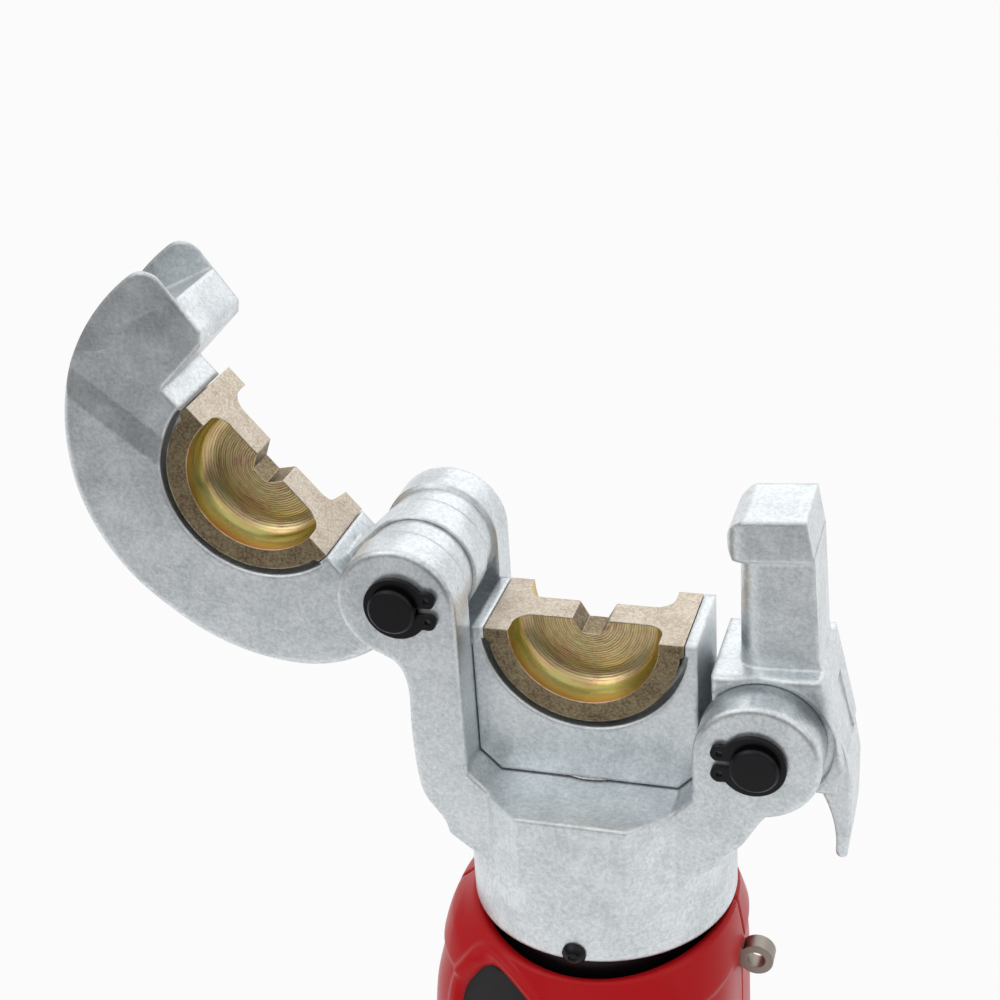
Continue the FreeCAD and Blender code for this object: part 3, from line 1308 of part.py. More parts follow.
def make_controls():
    """Trigger with its switch and spring, and the pressure release button with its spring."""
    left, level = dim("shoulder_left"), dim("collar_height") - trigger_down()
    travel = dim("trigger_travel")
    trigger = new_body("trigger")
    points = [(-9, -0.6), (-1.5, -0.6), (-1.5, -32.4), (-9, -32.4), (-12, -26), (-10.4, -15), (-12, -7)]
    pad(trigger, outline(trigger, "XZ_Plane", points), 16)
    place(trigger, -left + 9, 0, level)
    switch = new_body("trigger_switch")
    face = dim("switch_gap") + travel
    pad(switch, outline(switch, "XZ_Plane", box_outline(face, face + 7, -25, -4)), 14)
    place(switch, -left + 7.5, 0, level)
    coil("trigger_spring", 3, 0.5, face, 3, -left + 7.5, 0, level - 17, 90)
    button = new_body("release_button")
    radius, push = dim("release_r"), dim("release_travel")
    stem_end = dim("cylinder_r") + 5 + push + dim("slip")
    outside = left + 2
    pad(button, circles(button, "YZ_Plane", [(0, 0, radius)], -outside), 6, "One side")
    pad(button, circles(button, "YZ_Plane", [(0, 0, 2)], -outside + 5), outside - 5 - stem_end, "One side")
    place(button, z=release_level())
    coil("release_spring", 4, 0.5, outside - 6 - dim("cylinder_r") - 2, 4, -outside + 6, 0, release_level(), 90)


def battery_plan(left, right, half, corner=6):
    """The battery's outline from above, with cut corners."""
    return [
        (-left, -half + corner), (-left + corner, -half), (right - corner, -half), (right, -half + corner),
        (right, half - corner), (right - corner, half), (-left + corner, half), (-left, half - corner),
    ]


def make_battery():
    """Slide-on battery that the tool stands on: case with a T-shaped rail, cells, buttons and contacts."""
    left, right, half = dim("battery_left"), dim("battery_right"), dim("battery_half_y")
    top = dim("collar_height") - dim("foot_low") - dim("rail_gap")
    wall = dim("battery_wall")
    body = new_body("battery_case")
    pad(body, outline(body, "XY_Plane", battery_plan(left, right, half)), top, "One side")
    hollow = battery_plan(left - wall, right - wall, half - wall, 4)
    pocket(body, outline(body, "XY_Plane", hollow, top - wall), top - wall * 2, "One side", False)
    lid = outline(body, "XY_Plane", battery_plan(left - 1, right - 1, half - 1), top - wall)
    pad(body, lid, wall, "One side")
    neck, head, lip = dim("rail_neck"), dim("rail_head"), dim("rail_lip")
    rail_end = dim("foot_right") - 4
    pad(body, outline(body, "XY_Plane", box_outline(-left + 8, rail_end, -neck, neck), top), lip + dim("rail_gap"),
        "One side")
    pad(body, outline(body, "XY_Plane", box_outline(-left + 8, rail_end, -head, head), top + lip + dim("rail_gap")),
        dim("rail_tall"), "One side")
    for flip in (False, True):
        hole = circles(body, "XZ_Plane", [(-left + 26, top - 14, dim("battery_button_r") + dim("slip"))],
                       -half - 1 if flip else half + 1)
        pocket(body, hole, wall + 2, "One side", flip)
    place(body)
    for label, side in (("battery_button_front", -1), ("battery_button_back", 1)):
        button = new_body(label)
        sketch = circles(button, "XZ_Plane", [(0, 0, dim("battery_button_r"))])
        pad(button, sketch, wall + 1.4, "One side", side > 0)
        place(button, -left + 26, (half - wall) * side, top - 14)
    make_cells(left, top, wall)


def make_cells(left, top, wall):
    """Ten round cells in two layers, lying across the case."""
    radius, length = float(dim("cell_r")), float(dim("cell_long"))
    first = -float(left) + float(wall) + radius + 3
    cells = []
    for row in range(2):
        for column in range(5):
            x = first + column * (2 * radius + 0.6)
            z = float(wall) + radius + 0.6 + row * (2 * radius + 0.6)
            cells.append(rod_y(radius, -length / 2, length / 2, x, z))
    shape_part("battery_cells", Part.makeCompound(cells))


def make_board():
    """Control board in the foot, and the contact block above the battery's rail."""
    level = dim("collar_height") - dim("foot_low")
    board = new_body("circuit_board")
    half = dim("board_half")
    pad(board, outline(board, "XY_Plane", box_outline(-half * 1.8, half, -half, half)), 1.6, "One side")
    place(board, z=level + 10 + dim("slip"))


def build():
    fill_sheet()
    make_yoke()
    make_collar_screw()
    hinge = (-dim("hinge_x"), dim("hinge_up"))
    latch = (dim("latch_x"), dim("latch_up"))
    make_pin("hinge_pin", *hinge)
    make_pin("latch_pin", *latch)
    make_rings("hinge_pin_rings", hinge[0], hinge[1], 1)
    make_rings("latch_pin_rings", latch[0], latch[1], -1)
    make_ram_block()
    make_dies()
    make_detents()
    make_ram_screw()
    jaw = make_upper_jaw()
    swing_open(jaw)
    make_latch()
    make_latch_spring()
    make_cylinder()
    make_piston()
    make_rod_bush()
    make_relief_valve()
    make_piston_seal()
    make_return_spring()
    make_pump_block()
    make_pump_plunger()
    make_bladder()
    make_motor_line()
    make_housings()
    make_housing_screws()
    make_soft_parts()
    make_strap_eye()
    make_controls()
    make_battery()
    make_board()


def sub_parts():
    """The document's finished sub-parts: bodies and the features that stand alone."""
    inside = set()
    for body in doc.Objects:
        if body.TypeId == "PartDesign::Body":
            inside.update(item.Name for item in body.Group)
    kinds = ("PartDesign::Body", "Part::Feature")
    return [item for item in doc.Objects if item.TypeId in kinds and item.Name not in inside]


def check_and_write():
    doc.recompute()
    for item in doc.Objects:
        if "Invalid" in item.State or "Error" in item.State:
            raise RuntimeError("%s failed: %s" % (item.Label, item.State))
    os.makedirs("parts", exist_ok=True)
    for part in sub_parts():
        shape = part.Shape
        if shape.isNull() or not shape.isValid() or not shape.Solids:
            raise RuntimeError("%s has no valid solid" % part.Label)
        shape.exportStep("parts/%s.step" % part.Label)
        print("%-24s %9.1f mm3 %d solid(s)" % (part.Label, shape.Volume, len(shape.Solids)))


build()
check_and_write()
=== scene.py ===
import json
import math

import bpy
import numpy as np
from mathutils import Matrix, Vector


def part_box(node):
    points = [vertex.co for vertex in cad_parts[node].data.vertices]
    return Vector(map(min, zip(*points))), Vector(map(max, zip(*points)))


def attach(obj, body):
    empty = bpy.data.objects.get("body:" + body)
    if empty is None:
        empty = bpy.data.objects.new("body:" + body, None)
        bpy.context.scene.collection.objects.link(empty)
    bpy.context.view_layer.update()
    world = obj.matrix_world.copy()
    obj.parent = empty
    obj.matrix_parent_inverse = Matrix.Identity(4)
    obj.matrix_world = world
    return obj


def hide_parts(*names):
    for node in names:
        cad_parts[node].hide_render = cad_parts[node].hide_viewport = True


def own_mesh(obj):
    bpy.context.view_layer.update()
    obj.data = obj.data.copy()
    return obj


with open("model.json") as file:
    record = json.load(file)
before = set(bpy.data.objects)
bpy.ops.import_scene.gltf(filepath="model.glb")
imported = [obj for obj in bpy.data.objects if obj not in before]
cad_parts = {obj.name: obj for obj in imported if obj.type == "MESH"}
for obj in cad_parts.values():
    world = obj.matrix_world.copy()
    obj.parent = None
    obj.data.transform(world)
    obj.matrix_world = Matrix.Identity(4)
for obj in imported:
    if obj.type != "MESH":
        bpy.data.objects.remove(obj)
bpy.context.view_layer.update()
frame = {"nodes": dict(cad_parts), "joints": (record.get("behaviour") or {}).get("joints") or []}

bl_info = {
    "name": "Hydraulic Crimping Tool",
    "version": (1, 0, 0),
    "blender": (4, 5, 0),
    "location": "View3D > Sidebar > Crimping Tool",
    "description": "Finishes the crimping tool: plated forgings, passivated dies, moulded body and studio",
    "category": "Object",
}

COLLAR_HEIGHT = float(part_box("yoke")[0][2])
MM = 0.001

# The yoke flares between these heights over the collar's lower rim, in metres.
FLARE = (0.012, 0.0245)
FLARE_FADE = 0.002
FLARE_LEAN = 0.03

# Runs of colour in the dies' bowls: up the wall from the floor, and over patches of the floor. Up the wall
# the chromate's own iridescent colours carry a painted highlight band, the pale yellow-green stop.
BOWL_WALL = [(0.0, (0.42, 0.25, 0.13)), (0.16, (0.50, 0.40, 0.13)), (0.36, (0.42, 0.46, 0.20)),
             (0.55, (0.76, 0.72, 0.36)), (0.78, (0.72, 0.60, 0.16)), (1.0, (0.70, 0.38, 0.14))]
BOWL_FLOOR = [(0.34, (0.38, 0.19, 0.13)), (0.48, (0.46, 0.31, 0.14)), (0.62, (0.42, 0.40, 0.15))]
BOWL_STREAK = (0.86, 0.72, 0.42)
BOWL_RADIUS = 0.0188
BOWL_FLOOR_EDGE = (0.0048, 0.0062)
BOWL_WALL_DEPTHS = (0.0052, 0.0125)
RING_PITCH = 0.00062
SPRING_WIRE = (0.40, 0.40, 0.42)

# Material, colour, roughness, metallic, and the CAD nodes that wear it.
METALS = [
    ("black oxide", (0.02, 0.02, 0.022), 0.34, 0.85,
     ["hinge_pin", "latch_pin", "hinge_pin_rings", "latch_pin_rings", "collar_screw", "ram_screw",
      "housing_screws", "cylinder"]),
    ("machined steel", (0.60, 0.60, 0.60), 0.28, 1.0,
     ["piston", "lower_die_detent", "upper_die_detent", "relief_valve", "pump_plunger", "pump_plug",
      "bladder_clamps", "motor_shaft", "eccentric_shaft", "eccentric_bearing", "motor"]),
    ("sintered steel", (0.36, 0.32, 0.28), 0.42, 1.0, ["strap_eye"]),
    ("spring steel", SPRING_WIRE, 0.3, 1.0, ["latch_spring", "plunger_spring"]),
    ("cast aluminium", (0.66, 0.67, 0.68), 0.4, 1.0, ["pump_block", "gearbox"]),
    ("bronze", (0.60, 0.42, 0.22), 0.35, 1.0, ["rod_bush"]),
]

# Piece, body, CAD node, joint, mean radius, wire radius, start, end, turns, level, and the share of
# the length that is left at the joint's limit. A level of None lies the coil along Z, others along X.
SPRINGS = [
    ("ram_spring", "ram", "return_spring", "ram_slide", 18.8, 2.0, -46.55, 25.85, 7, None, 0.695),
    ("trigger_coil", "trigger", "trigger_spring", "trigger_pull", 3.0, 0.5, -41.85, -37.65, 3, -101.5, 0.2),
    ("release_coil", "release_button", "release_spring", "release_press", 4.0, 0.5, -45.35, -34.05, 4,
     -70.5, 0.82),
]

# Lamp, place, width and height, and the setting that holds its power.
LAMPS = [("key", (-0.9, -1.1, 1.5), (1.0, 1.0), "key"), ("fill", (1.3, -0.7, 0.9), (0.8, 1.2), "fill"),
         ("rim", (0.2, 1.3, 1.2), (1.4, 0.6), "fill")]

# Where the floor dims towards the camera's side, and how white it stays to the camera and in metal.
FLOOR_DIM = (-0.88, -0.60)
FLOOR_SEEN = 0.93
FLOOR_MIRRORED = 0.95


class Wiring:
    """Adds nodes to a tree and links them by name."""

    def __init__(self, tree):
        self.tree = tree
        self.column = 0

    def add(self, kind, inputs=None, **settings):
        """Makes a node, sets its own settings and feeds its inputs."""
        node = self.tree.nodes.new(kind)
        node.location = (200 * self.column, -160 * (self.column % 5))
        self.column += 1
        for name, value in settings.items():
            setattr(node, name, value)
        self.fill(node, inputs or {})
        return node

    def fill(self, node, inputs):
        """Feeds several inputs of a node, by name or number."""
        for name, value in inputs.items():
            self.feed(node.inputs[name], value)

    def feed(self, socket, value):
        """Links a socket or node to an input, or sets the input to a constant."""
        if isinstance(value, bpy.types.NodeSocket):
            self.tree.links.new(value, socket)
        elif isinstance(value, bpy.types.Node):
            self.tree.links.new(value.outputs[0], socket)
        elif hasattr(socket, "default_value"):
            if socket.type == "RGBA" and len(value) == 3:
                value = (*value, 1.0)
            socket.default_value = value

    def maths(self, operation, first, second=None):
        """One operation on one or two numbers."""
        inputs = {0: first} if second is None else {0: first, 1: second}
        return self.add("ShaderNodeMath", inputs, operation=operation).outputs[0]

    def times(self, first, second):
        """The product of two numbers."""
        return self.maths("MULTIPLY", first, second)

    def mix(self, factor, first, second):
        """The first colour at factor 0 and the second at 1."""
        node = self.add("ShaderNodeMix", {"Factor": factor, "A": first, "B": second}, data_type="RGBA")
        return node.outputs["Result"]

    def spread(self, value, low, high, to_low=0.0, to_high=1.0):
        """Maps low to to_low and high to to_high in a straight line, held at both ends."""
        node = self.add("ShaderNodeMapRange", {"Value": value, "From Min": low, "From Max": high,
                                               "To Min": to_low, "To Max": to_high})
        return node.outputs[0]

    def noise(self, vector, scale, detail=4.0, roughness=0.55, distortion=0.0):
        """Fractal noise about 0.5 at so many cells to the metre."""
        node = self.add("ShaderNodeTexNoise", {"Vector": vector, "Scale": scale, "Detail": detail,
                                               "Roughness": roughness, "Distortion": distortion})
        return node.outputs["Fac"]


def new_group(name, inputs, outputs):
    """A shader node group with named sockets, and its wiring, input and output nodes."""
    tree = bpy.data.node_groups.new(name, "ShaderNodeTree")
    for label, kind, default in inputs:
        socket = tree.interface.new_socket(name=label, in_out="INPUT", socket_type=kind)
        if default is not None:
            socket.default_value = default
    for label, kind in outputs:
        tree.interface.new_socket(name=label, in_out="OUTPUT", socket_type=kind)
    wiring = Wiring(tree)
    entry = wiring.add("NodeGroupInput")
    leave = wiring.add("NodeGroupOutput")
    return wiring, entry, leave


def edge_highlight_group():
    """Mask that is 1 on convex edges, found from how far a rounded normal leans off the flat one; the
    materials paint edge highlights with it.
    """
    wiring, entry, leave = new_group(
        "Edge Wear",
        [("Vector", "NodeSocketVector", None), ("Radius", "NodeSocketFloat", 0.001),
         ("Break Up", "NodeSocketFloat", 400.0)],
        [("Mask", "NodeSocketFloat"), ("Normal", "NodeSocketVector")])
    bevel = wiring.add("ShaderNodeBevel", {"Radius": entry.outputs["Radius"]}, samples=6)
    flat = wiring.add("ShaderNodeNewGeometry").outputs["Normal"]
    lean = wiring.add("ShaderNodeVectorMath", {0: bevel, 1: flat}, operation="DOT_PRODUCT")
    mask = wiring.spread(lean.outputs["Value"], 0.995, 0.85)
    patchy = wiring.noise(entry.outputs["Vector"], entry.outputs["Break Up"])
    mask = wiring.times(mask, wiring.spread(patchy, 0.35, 0.6))
    wiring.fill(leave, {"Mask": mask, "Normal": bevel})
    return wiring.tree


def mottle_group():
    """Cloudy plating: soft clouds, fine crystals and grain as three masks."""
    wiring, entry, leave = new_group(
        "Plating Mottle",
        [("Vector", "NodeSocketVector", None), ("Cloud Scale", "NodeSocketFloat", 60.0),
         ("Crystal Scale", "NodeSocketFloat", 900.0)],
        [("Cloud", "NodeSocketFloat"), ("Crystal", "NodeSocketFloat"), ("Grain", "NodeSocketFloat")])
    vector = entry.outputs["Vector"]
    cloud = wiring.noise(vector, entry.outputs["Cloud Scale"], 5.0, 0.6, 0.4)
    crystal = wiring.noise(vector, entry.outputs["Crystal Scale"], 3.0, 0.75, 0.2)
    grain = wiring.noise(vector, 3400.0, 2.0, 0.7)
    wiring.fill(leave, {"Cloud": cloud, "Crystal": crystal, "Grain": grain})
    return wiring.tree


def turning_group():
    """Concentric machining rings in the plane across Y, as a height wave."""
    wiring, entry, leave = new_group(
        "Turning Rings",
        [("Vector", "NodeSocketVector", None), ("Pitch", "NodeSocketFloat", 0.0006),
         ("Uneven", "NodeSocketFloat", 0.3)],
        [("Height", "NodeSocketFloat"), ("Radius", "NodeSocketFloat")])
    parts = wiring.add("ShaderNodeSeparateXYZ", {"Vector": entry.outputs["Vector"]})
    across = wiring.times(parts.outputs["X"], parts.outputs["X"])
    up = wiring.times(parts.outputs["Z"], parts.outputs["Z"])
    radius = wiring.maths("SQRT", wiring.maths("ADD", across, up))
    turns = wiring.maths("DIVIDE", radius, entry.outputs["Pitch"])
    wave = wiring.maths("SINE", wiring.times(turns, 2 * math.pi))
    turn = wiring.maths("ARCTAN2", parts.outputs["X"], parts.outputs["Z"])
    ring = wiring.add("ShaderNodeCombineXYZ", {"X": radius, "Y": wiring.times(turn, 0.0011)})
    uneven = wiring.noise(ring.outputs[0], 1500.0, 4.0, 0.7)
    height = wiring.maths("ADD", wiring.times(wave, 0.1), wiring.times(uneven, entry.outputs["Uneven"]))
    wiring.fill(leave, {"Height": height, "Radius": radius})
    return wiring.tree


GROUP_MAKERS = {"edge": edge_highlight_group, "mottle": mottle_group, "turning": turning_group}
GROUPS = {}


def fresh_wiring(owner):
    """The wiring of a material's or world's emptied tree."""
    owner.use_nodes = True
    owner.node_tree.nodes.clear()
    return Wiring(owner.node_tree)


def new_material(name):
    """An empty material with its wiring, Principled shader and object coordinates."""
    material = bpy.data.materials.new(name)
    wiring = fresh_wiring(material)
    shader = wiring.add("ShaderNodeBsdfPrincipled")
    wiring.add("ShaderNodeOutputMaterial", {"Surface": shader})
    place = wiring.add("ShaderNodeTexCoord").outputs["Object"]
    return material, wiring, shader, place


def use_group(wiring, name, inputs):
    """Puts a shared node group, built the first time, into a material with its own values."""
    if name not in GROUPS:
        GROUPS[name] = GROUP_MAKERS[name]()
    return wiring.add("ShaderNodeGroup", inputs, node_tree=GROUPS[name])


def bump(wiring, height, distance, strength, normal):
    """The normal of a surface raised by height times distance."""
    inputs = {"Height": height, "Distance": distance, "Strength": strength, "Normal": normal}
    return wiring.add("ShaderNodeBump", inputs).outputs[0]


def zinc_material(settings):
    """Bright zinc plate on a forging: cloudy, finely crystalline, with a painted highlight along its edges.
    """
    material, wiring, shader, place = new_material("zinc plated forging")
    edge = use_group(wiring, "edge", {"Vector": place, "Radius": settings.edge_radius, "Break Up": 260.0})
    mottle = use_group(wiring, "mottle", {"Vector": place, "Cloud Scale": 95.0, "Crystal Scale": 950.0})
    cloud, crystal, grain = mottle.outputs
    tone = wiring.maths("ADD", wiring.times(cloud, 0.45), wiring.times(crystal, 0.55))
    colour = wiring.mix(wiring.spread(tone, 0.38, 0.62), settings.zinc_dark, settings.zinc_light)
    speck = wiring.times(wiring.spread(grain, 0.34, 0.26), wiring.spread(cloud, 0.45, 0.6))
    colour = wiring.mix(wiring.times(speck, 0.6), colour, settings.pit)
    # Painted highlight along the edges, laid over the plating's colour.
    colour = wiring.mix(wiring.times(edge.outputs["Mask"], 0.75), colour, settings.zinc_edge_highlight)
    rough = wiring.spread(cloud, 0.3, 0.75, settings.roughness - 0.05, settings.roughness + 0.07)
    height = wiring.maths("ADD", wiring.times(cloud, 0.6), wiring.times(crystal, 0.5))
    normal = eased_overhang(wiring, place, edge.outputs["Normal"])
    normal = bump(wiring, height, 0.00016, 0.5, normal)
    wiring.fill(shader, {"Base Color": colour, "Roughness": rough, "Metallic": 0.8, "Normal": normal})
    return material


def eased_overhang(wiring, place, normal):
    """The normal with its z held near 0, so that the flare over the collar shades as one soft bend."""
    level = wiring.add("ShaderNodeSeparateXYZ", {"Vector": place}).outputs["Z"]
    low, high = COLLAR_HEIGHT + FLARE[0], COLLAR_HEIGHT + FLARE[1]
    under = wiring.spread(level, low, low + FLARE_FADE)
    over = wiring.spread(level, high, high - FLARE_FADE)
    inside = wiring.times(under, over)
    parts = wiring.add("ShaderNodeSeparateXYZ", {"Vector": normal})
    held = wiring.maths("MAXIMUM", parts.outputs["Z"], wiring.spread(inside, 0.0, 1.0, -1.0, -FLARE_LEAN))
    held = wiring.maths("MINIMUM", held, wiring.spread(inside, 0.0, 1.0, 1.0, FLARE_LEAN))
    joined = wiring.add("ShaderNodeCombineXYZ",
                        {"X": parts.outputs["X"], "Y": parts.outputs["Y"], "Z": held})
    return wiring.add("ShaderNodeVectorMath", {0: joined}, operation="NORMALIZE").outputs[0]


def colour_ramp(wiring, factor, stops):
    """A smooth run of colours at the given positions."""
    ramp = wiring.add("ShaderNodeValToRGB", {"Fac": factor})
    for index, (position, colour) in enumerate(stops):
        if index < 2:
            element = ramp.color_ramp.elements[index]
            element.position = position
        else:
            element = ramp.color_ramp.elements.new(position)
        element.color = (*colour, 1)
    return ramp.outputs[0]


def chromate_material(name, centre, upward, settings):
    """Yellow chromate on a die: speckled tan flats, an olive-brown rim and turned, iridescent bowls with a
    painted highlight band up their walls, and a painted highlight along its edges.
    """
    material, wiring, shader, place = new_material(name)
    moved = wiring.add("ShaderNodeVectorMath", {0: place, 1: centre}, operation="SUBTRACT").outputs[0]
    along = wiring.add("ShaderNodeVectorMath", {0: moved, 1: upward}, operation="DOT_PRODUCT")
    height = along.outputs["Value"]
    depth = wiring.maths("ABSOLUTE", wiring.add("ShaderNodeSeparateXYZ", {"Vector": moved}).outputs["Y"])
    edge = use_group(wiring, "edge", {"Vector": place, "Radius": 0.0005, "Break Up": 500.0})
    rings = use_group(wiring, "turning", {"Vector": moved, "Pitch": RING_PITCH, "Uneven": 0.9})
    mottle = use_group(wiring, "mottle", {"Vector": place, "Cloud Scale": 150.0, "Crystal Scale": 1500.0})
    inner = wiring.spread(rings.outputs["Radius"], BOWL_RADIUS + 0.00035, BOWL_RADIUS)
    below = wiring.spread(height, -0.0001, -0.0004)
    inside = wiring.times(inner, below)
    clear = wiring.spread(depth, settings.web - 0.00015, settings.web - 0.00005)
    inside = wiring.times(inside, clear)
    cloud, crystal, _ = mottle.outputs
    speckle = wiring.maths("ADD", wiring.times(crystal, 0.7), wiring.times(cloud, 0.3))
    speckle = wiring.spread(speckle, 0.38, 0.64)
    rim = wiring.mix(speckle, settings.chromate_brown, settings.chromate_olive)
    flat = wiring.mix(speckle, settings.chromate_tan, settings.chromate_pale)
    skin = wiring.mix(below, flat, rim)
    wall = wiring.spread(depth, *BOWL_WALL_DEPTHS)
    sweep = wiring.maths("ADD", wall, wiring.spread(cloud, 0.3, 0.7, -0.10, 0.10))
    # Iridescent chromate colours up the wall, with a painted highlight band at the pale yellow-green stop.
    bowl = colour_ramp(wiring, sweep, BOWL_WALL)
    floor_share = wiring.spread(depth, BOWL_FLOOR_EDGE[1], BOWL_FLOOR_EDGE[0])
    patch = wiring.noise(moved, 190.0, 3.0, 0.6, 0.8)
    floor = colour_ramp(wiring, patch, BOWL_FLOOR)
    streak = wiring.spread(rings.outputs["Height"], 0.3, 0.62)
    floor = wiring.mix(wiring.times(streak, 0.8), floor, BOWL_STREAK)
    bowl = wiring.mix(floor_share, bowl, floor)
    colour = wiring.mix(inside, skin, bowl)
    # Painted highlight along the die's edges.
    colour = wiring.mix(wiring.times(edge.outputs["Mask"], 0.7), colour, settings.chromate_edge_highlight)
    turned = wiring.times(inside, floor_share)
    rough = wiring.spread(inside, 0.0, 1.0, 0.46, 0.22)
    rough = wiring.maths("ADD", rough, wiring.times(turned, 0.12))
    grooves = wiring.times(rings.outputs["Height"], turned)
    normal = bump(wiring, grooves, 0.00013, 0.9, edge.outputs["Normal"])
    normal = bump(wiring, crystal, 0.00008, 0.4, normal)
    wiring.fill(shader, {"Base Color": colour, "Roughness": rough, "Metallic": 1.0, "Normal": normal})
    return material


def satin_metal(name, colour, roughness, metallic=1.0):
    """Plain metal with fine grain, soft edges with a painted highlight along them, and slightly uneven
    gloss.
    """
    material, wiring, shader, place = new_material(name)
    edge = use_group(wiring, "edge", {"Vector": place, "Radius": 0.0004, "Break Up": 700.0})
    grain = wiring.noise(place, 900.0, 4.0, 0.6)
    # A lighter copy of the colour, painted along the edges as a highlight.
    light = tuple(min(1.0, c * 1.6 + 0.03) for c in colour)
    shade = wiring.mix(wiring.spread(grain, 0.3, 0.7), tuple(c * 0.85 for c in colour), colour)
    shade = wiring.mix(wiring.times(edge.outputs["Mask"], 0.5), shade, light)
    rough = wiring.spread(grain, 0.3, 0.7, roughness - 0.05, roughness + 0.06)
    normal = bump(wiring, grain, 0.00004, 0.25, edge.outputs["Normal"])
    wiring.fill(shader, {"Base Color": shade, "Roughness": rough, "Metallic": metallic, "Normal": normal})
    return material


def moulded_material(name, colour, roughness, grain_scale=1800.0, depth=0.00005):
    """Moulded plastic or rubber with spark-eroded grain, a faint cloudy tone and a painted highlight along
    its edges.
    """
    material, wiring, shader, place = new_material(name)
    edge = use_group(wiring, "edge", {"Vector": place, "Radius": 0.001, "Break Up": 300.0})
    grain = wiring.noise(place, grain_scale, 2.0, 0.5)
    cloud = wiring.noise(place, 45.0, 4.0, 0.6)
    # A lighter copy of the colour, painted along the edges as a highlight.
    light = tuple(min(1.0, c * 1.25 + 0.006) for c in colour)
    shade = wiring.mix(wiring.spread(cloud, 0.3, 0.7), tuple(c * 0.92 for c in colour), colour)
    shade = wiring.mix(wiring.times(edge.outputs["Mask"], 0.4), shade, light)
    rough = wiring.spread(cloud, 0.3, 0.7, roughness - 0.04, roughness + 0.07)
    normal = bump(wiring, grain, depth, 0.5, edge.outputs["Normal"])
    wiring.fill(shader, {"Base Color": shade, "Roughness": rough, "Specular IOR Level": 0.22,
                         "Normal": normal})
    return material


def dress(names, material):
    """Gives the named CAD nodes one material."""
    for name in names:
        slots = frame["nodes"][name].data.materials
        slots.clear()
        slots.append(material)


# Surfaces: grids of points worked out with numpy, in millimetres from the collar's lower rim.

def flow(knots, spots):
    """Smooth curve through (height, value) knots: cubic pieces whose slopes never overshoot a knot."""
    knots = np.array(sorted(knots), float)
    x, y = knots[:, 0], knots[:, 1]
    step = np.diff(x)
    rise = np.diff(y) / step
    slope = np.zeros_like(y)
    both = rise[:-1] * rise[1:] > 0
    first, second = 2 * step[1:] + step[:-1], step[1:] + 2 * step[:-1]
    safe = np.where(both, rise[:-1], 1), np.where(both, rise[1:], 1)
    slope[1:-1] = np.where(both, (first + second) / (first / safe[0] + second / safe[1]), 0)
    slope[0], slope[-1] = rise[0], rise[-1]
    spots = np.asarray(spots, float)
    piece = np.clip(np.searchsorted(x, spots) - 1, 0, len(x) - 2)
    part = np.clip((spots - x[piece]) / step[piece], 0, 1)
    a, b = part ** 2 * (3 - 2 * part), part * (1 - part) ** 2 * step[piece]
    c = part ** 2 * (part - 1) * step[piece]
    return y[piece] * (1 - a) + y[piece + 1] * a + slope[piece] * b + slope[piece + 1] * c


def ease(value, low, high):
    """0 below low, 1 above high, and a smooth S between."""
    part = np.clip((value - low) / (high - low), 0, 1)
    return part * part * (3 - 2 * part)


def round_box(turn, left, right, depth, power):
    """Point of a rounded rectangle in direction turn: |x/a|^n + |y/b|^n = 1, with an a for each side."""
    reach = np.where(np.cos(turn) < 0, left, right)
    across = np.abs(np.cos(turn)) / reach
    along = np.abs(np.sin(turn)) / depth
    radius = (across ** power + along ** power) ** (-1 / power)
    return radius * np.cos(turn), radius * np.sin(turn)


def outward(points, closed):
    """Unit normals of a grid of points, from the cross product of its two directions."""
    if closed:
        around = np.roll(points, -1, axis=1) - np.roll(points, 1, axis=1)
    else:
        around = np.gradient(points, axis=1)
    down = np.gradient(points, axis=0)
    normal = np.cross(around, down)
    return normal / np.maximum(np.linalg.norm(normal, axis=2, keepdims=True), 1e-9)


def grid_faces(rows, columns, closed, flip=False):
    """Quads of a grid of rows by columns, wrapped round its columns when closed, turned over by flip."""
    last = columns if closed else columns - 1
    row, column = np.meshgrid(np.arange(rows - 1), np.arange(last), indexing="ij")
    ahead = (column + 1) % columns
    quads = [row * columns + column, (row + 1) * columns + column, (row + 1) * columns + ahead,
             row * columns + ahead]
    return np.stack(quads[::-1] if flip else quads, axis=-1).reshape(-1, 4)


def build_mesh(name, points, faces):
    """A mesh object from millimetre points above the collar's lower rim."""
    spots = np.asarray(points, float).reshape(-1, 3) * MM
    spots[:, 2] += COLLAR_HEIGHT
    mesh = bpy.data.meshes.new(name)
    mesh.from_pydata(spots.tolist(), [], [list(map(int, face)) for face in faces])
    mesh.update()
    piece = bpy.data.objects.new(name, mesh)
    bpy.context.scene.collection.objects.link(piece)
    mesh.shade_smooth()
    return piece


def finish_piece(piece, material, body, slot, *replaced):
    """Gives a piece its material and its body, and hides the CAD nodes that it stands for. The slot is not
    used.
    """
    piece.data.materials.append(material)
    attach(piece, body)
    if replaced:
        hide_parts(*replaced)


def carve(piece, cutters):
    """Cuts closed cutters out of a piece, makes that its mesh and drops them. The exact solver empties
    these thin shells, so it isn't used."""
    for cutter in cutters:
        change = piece.modifiers.new("cut", "BOOLEAN")
        change.operation = "DIFFERENCE"
        change.solver = "FAST"
        change.object = cutter
    graph = bpy.context.evaluated_depsgraph_get()
    mesh = bpy.data.meshes.new_from_object(piece.evaluated_get(graph))
    piece.modifiers.clear()
    piece.data = mesh
    for cutter in cutters:
        bpy.data.objects.remove(cutter)


def thicken(piece, thickness):
    """Gives an open surface a wall that grows inwards."""
    wall = piece.modifiers.new("wall", "SOLIDIFY")
    wall.thickness = thickness
    wall.offset = -1
    return piece


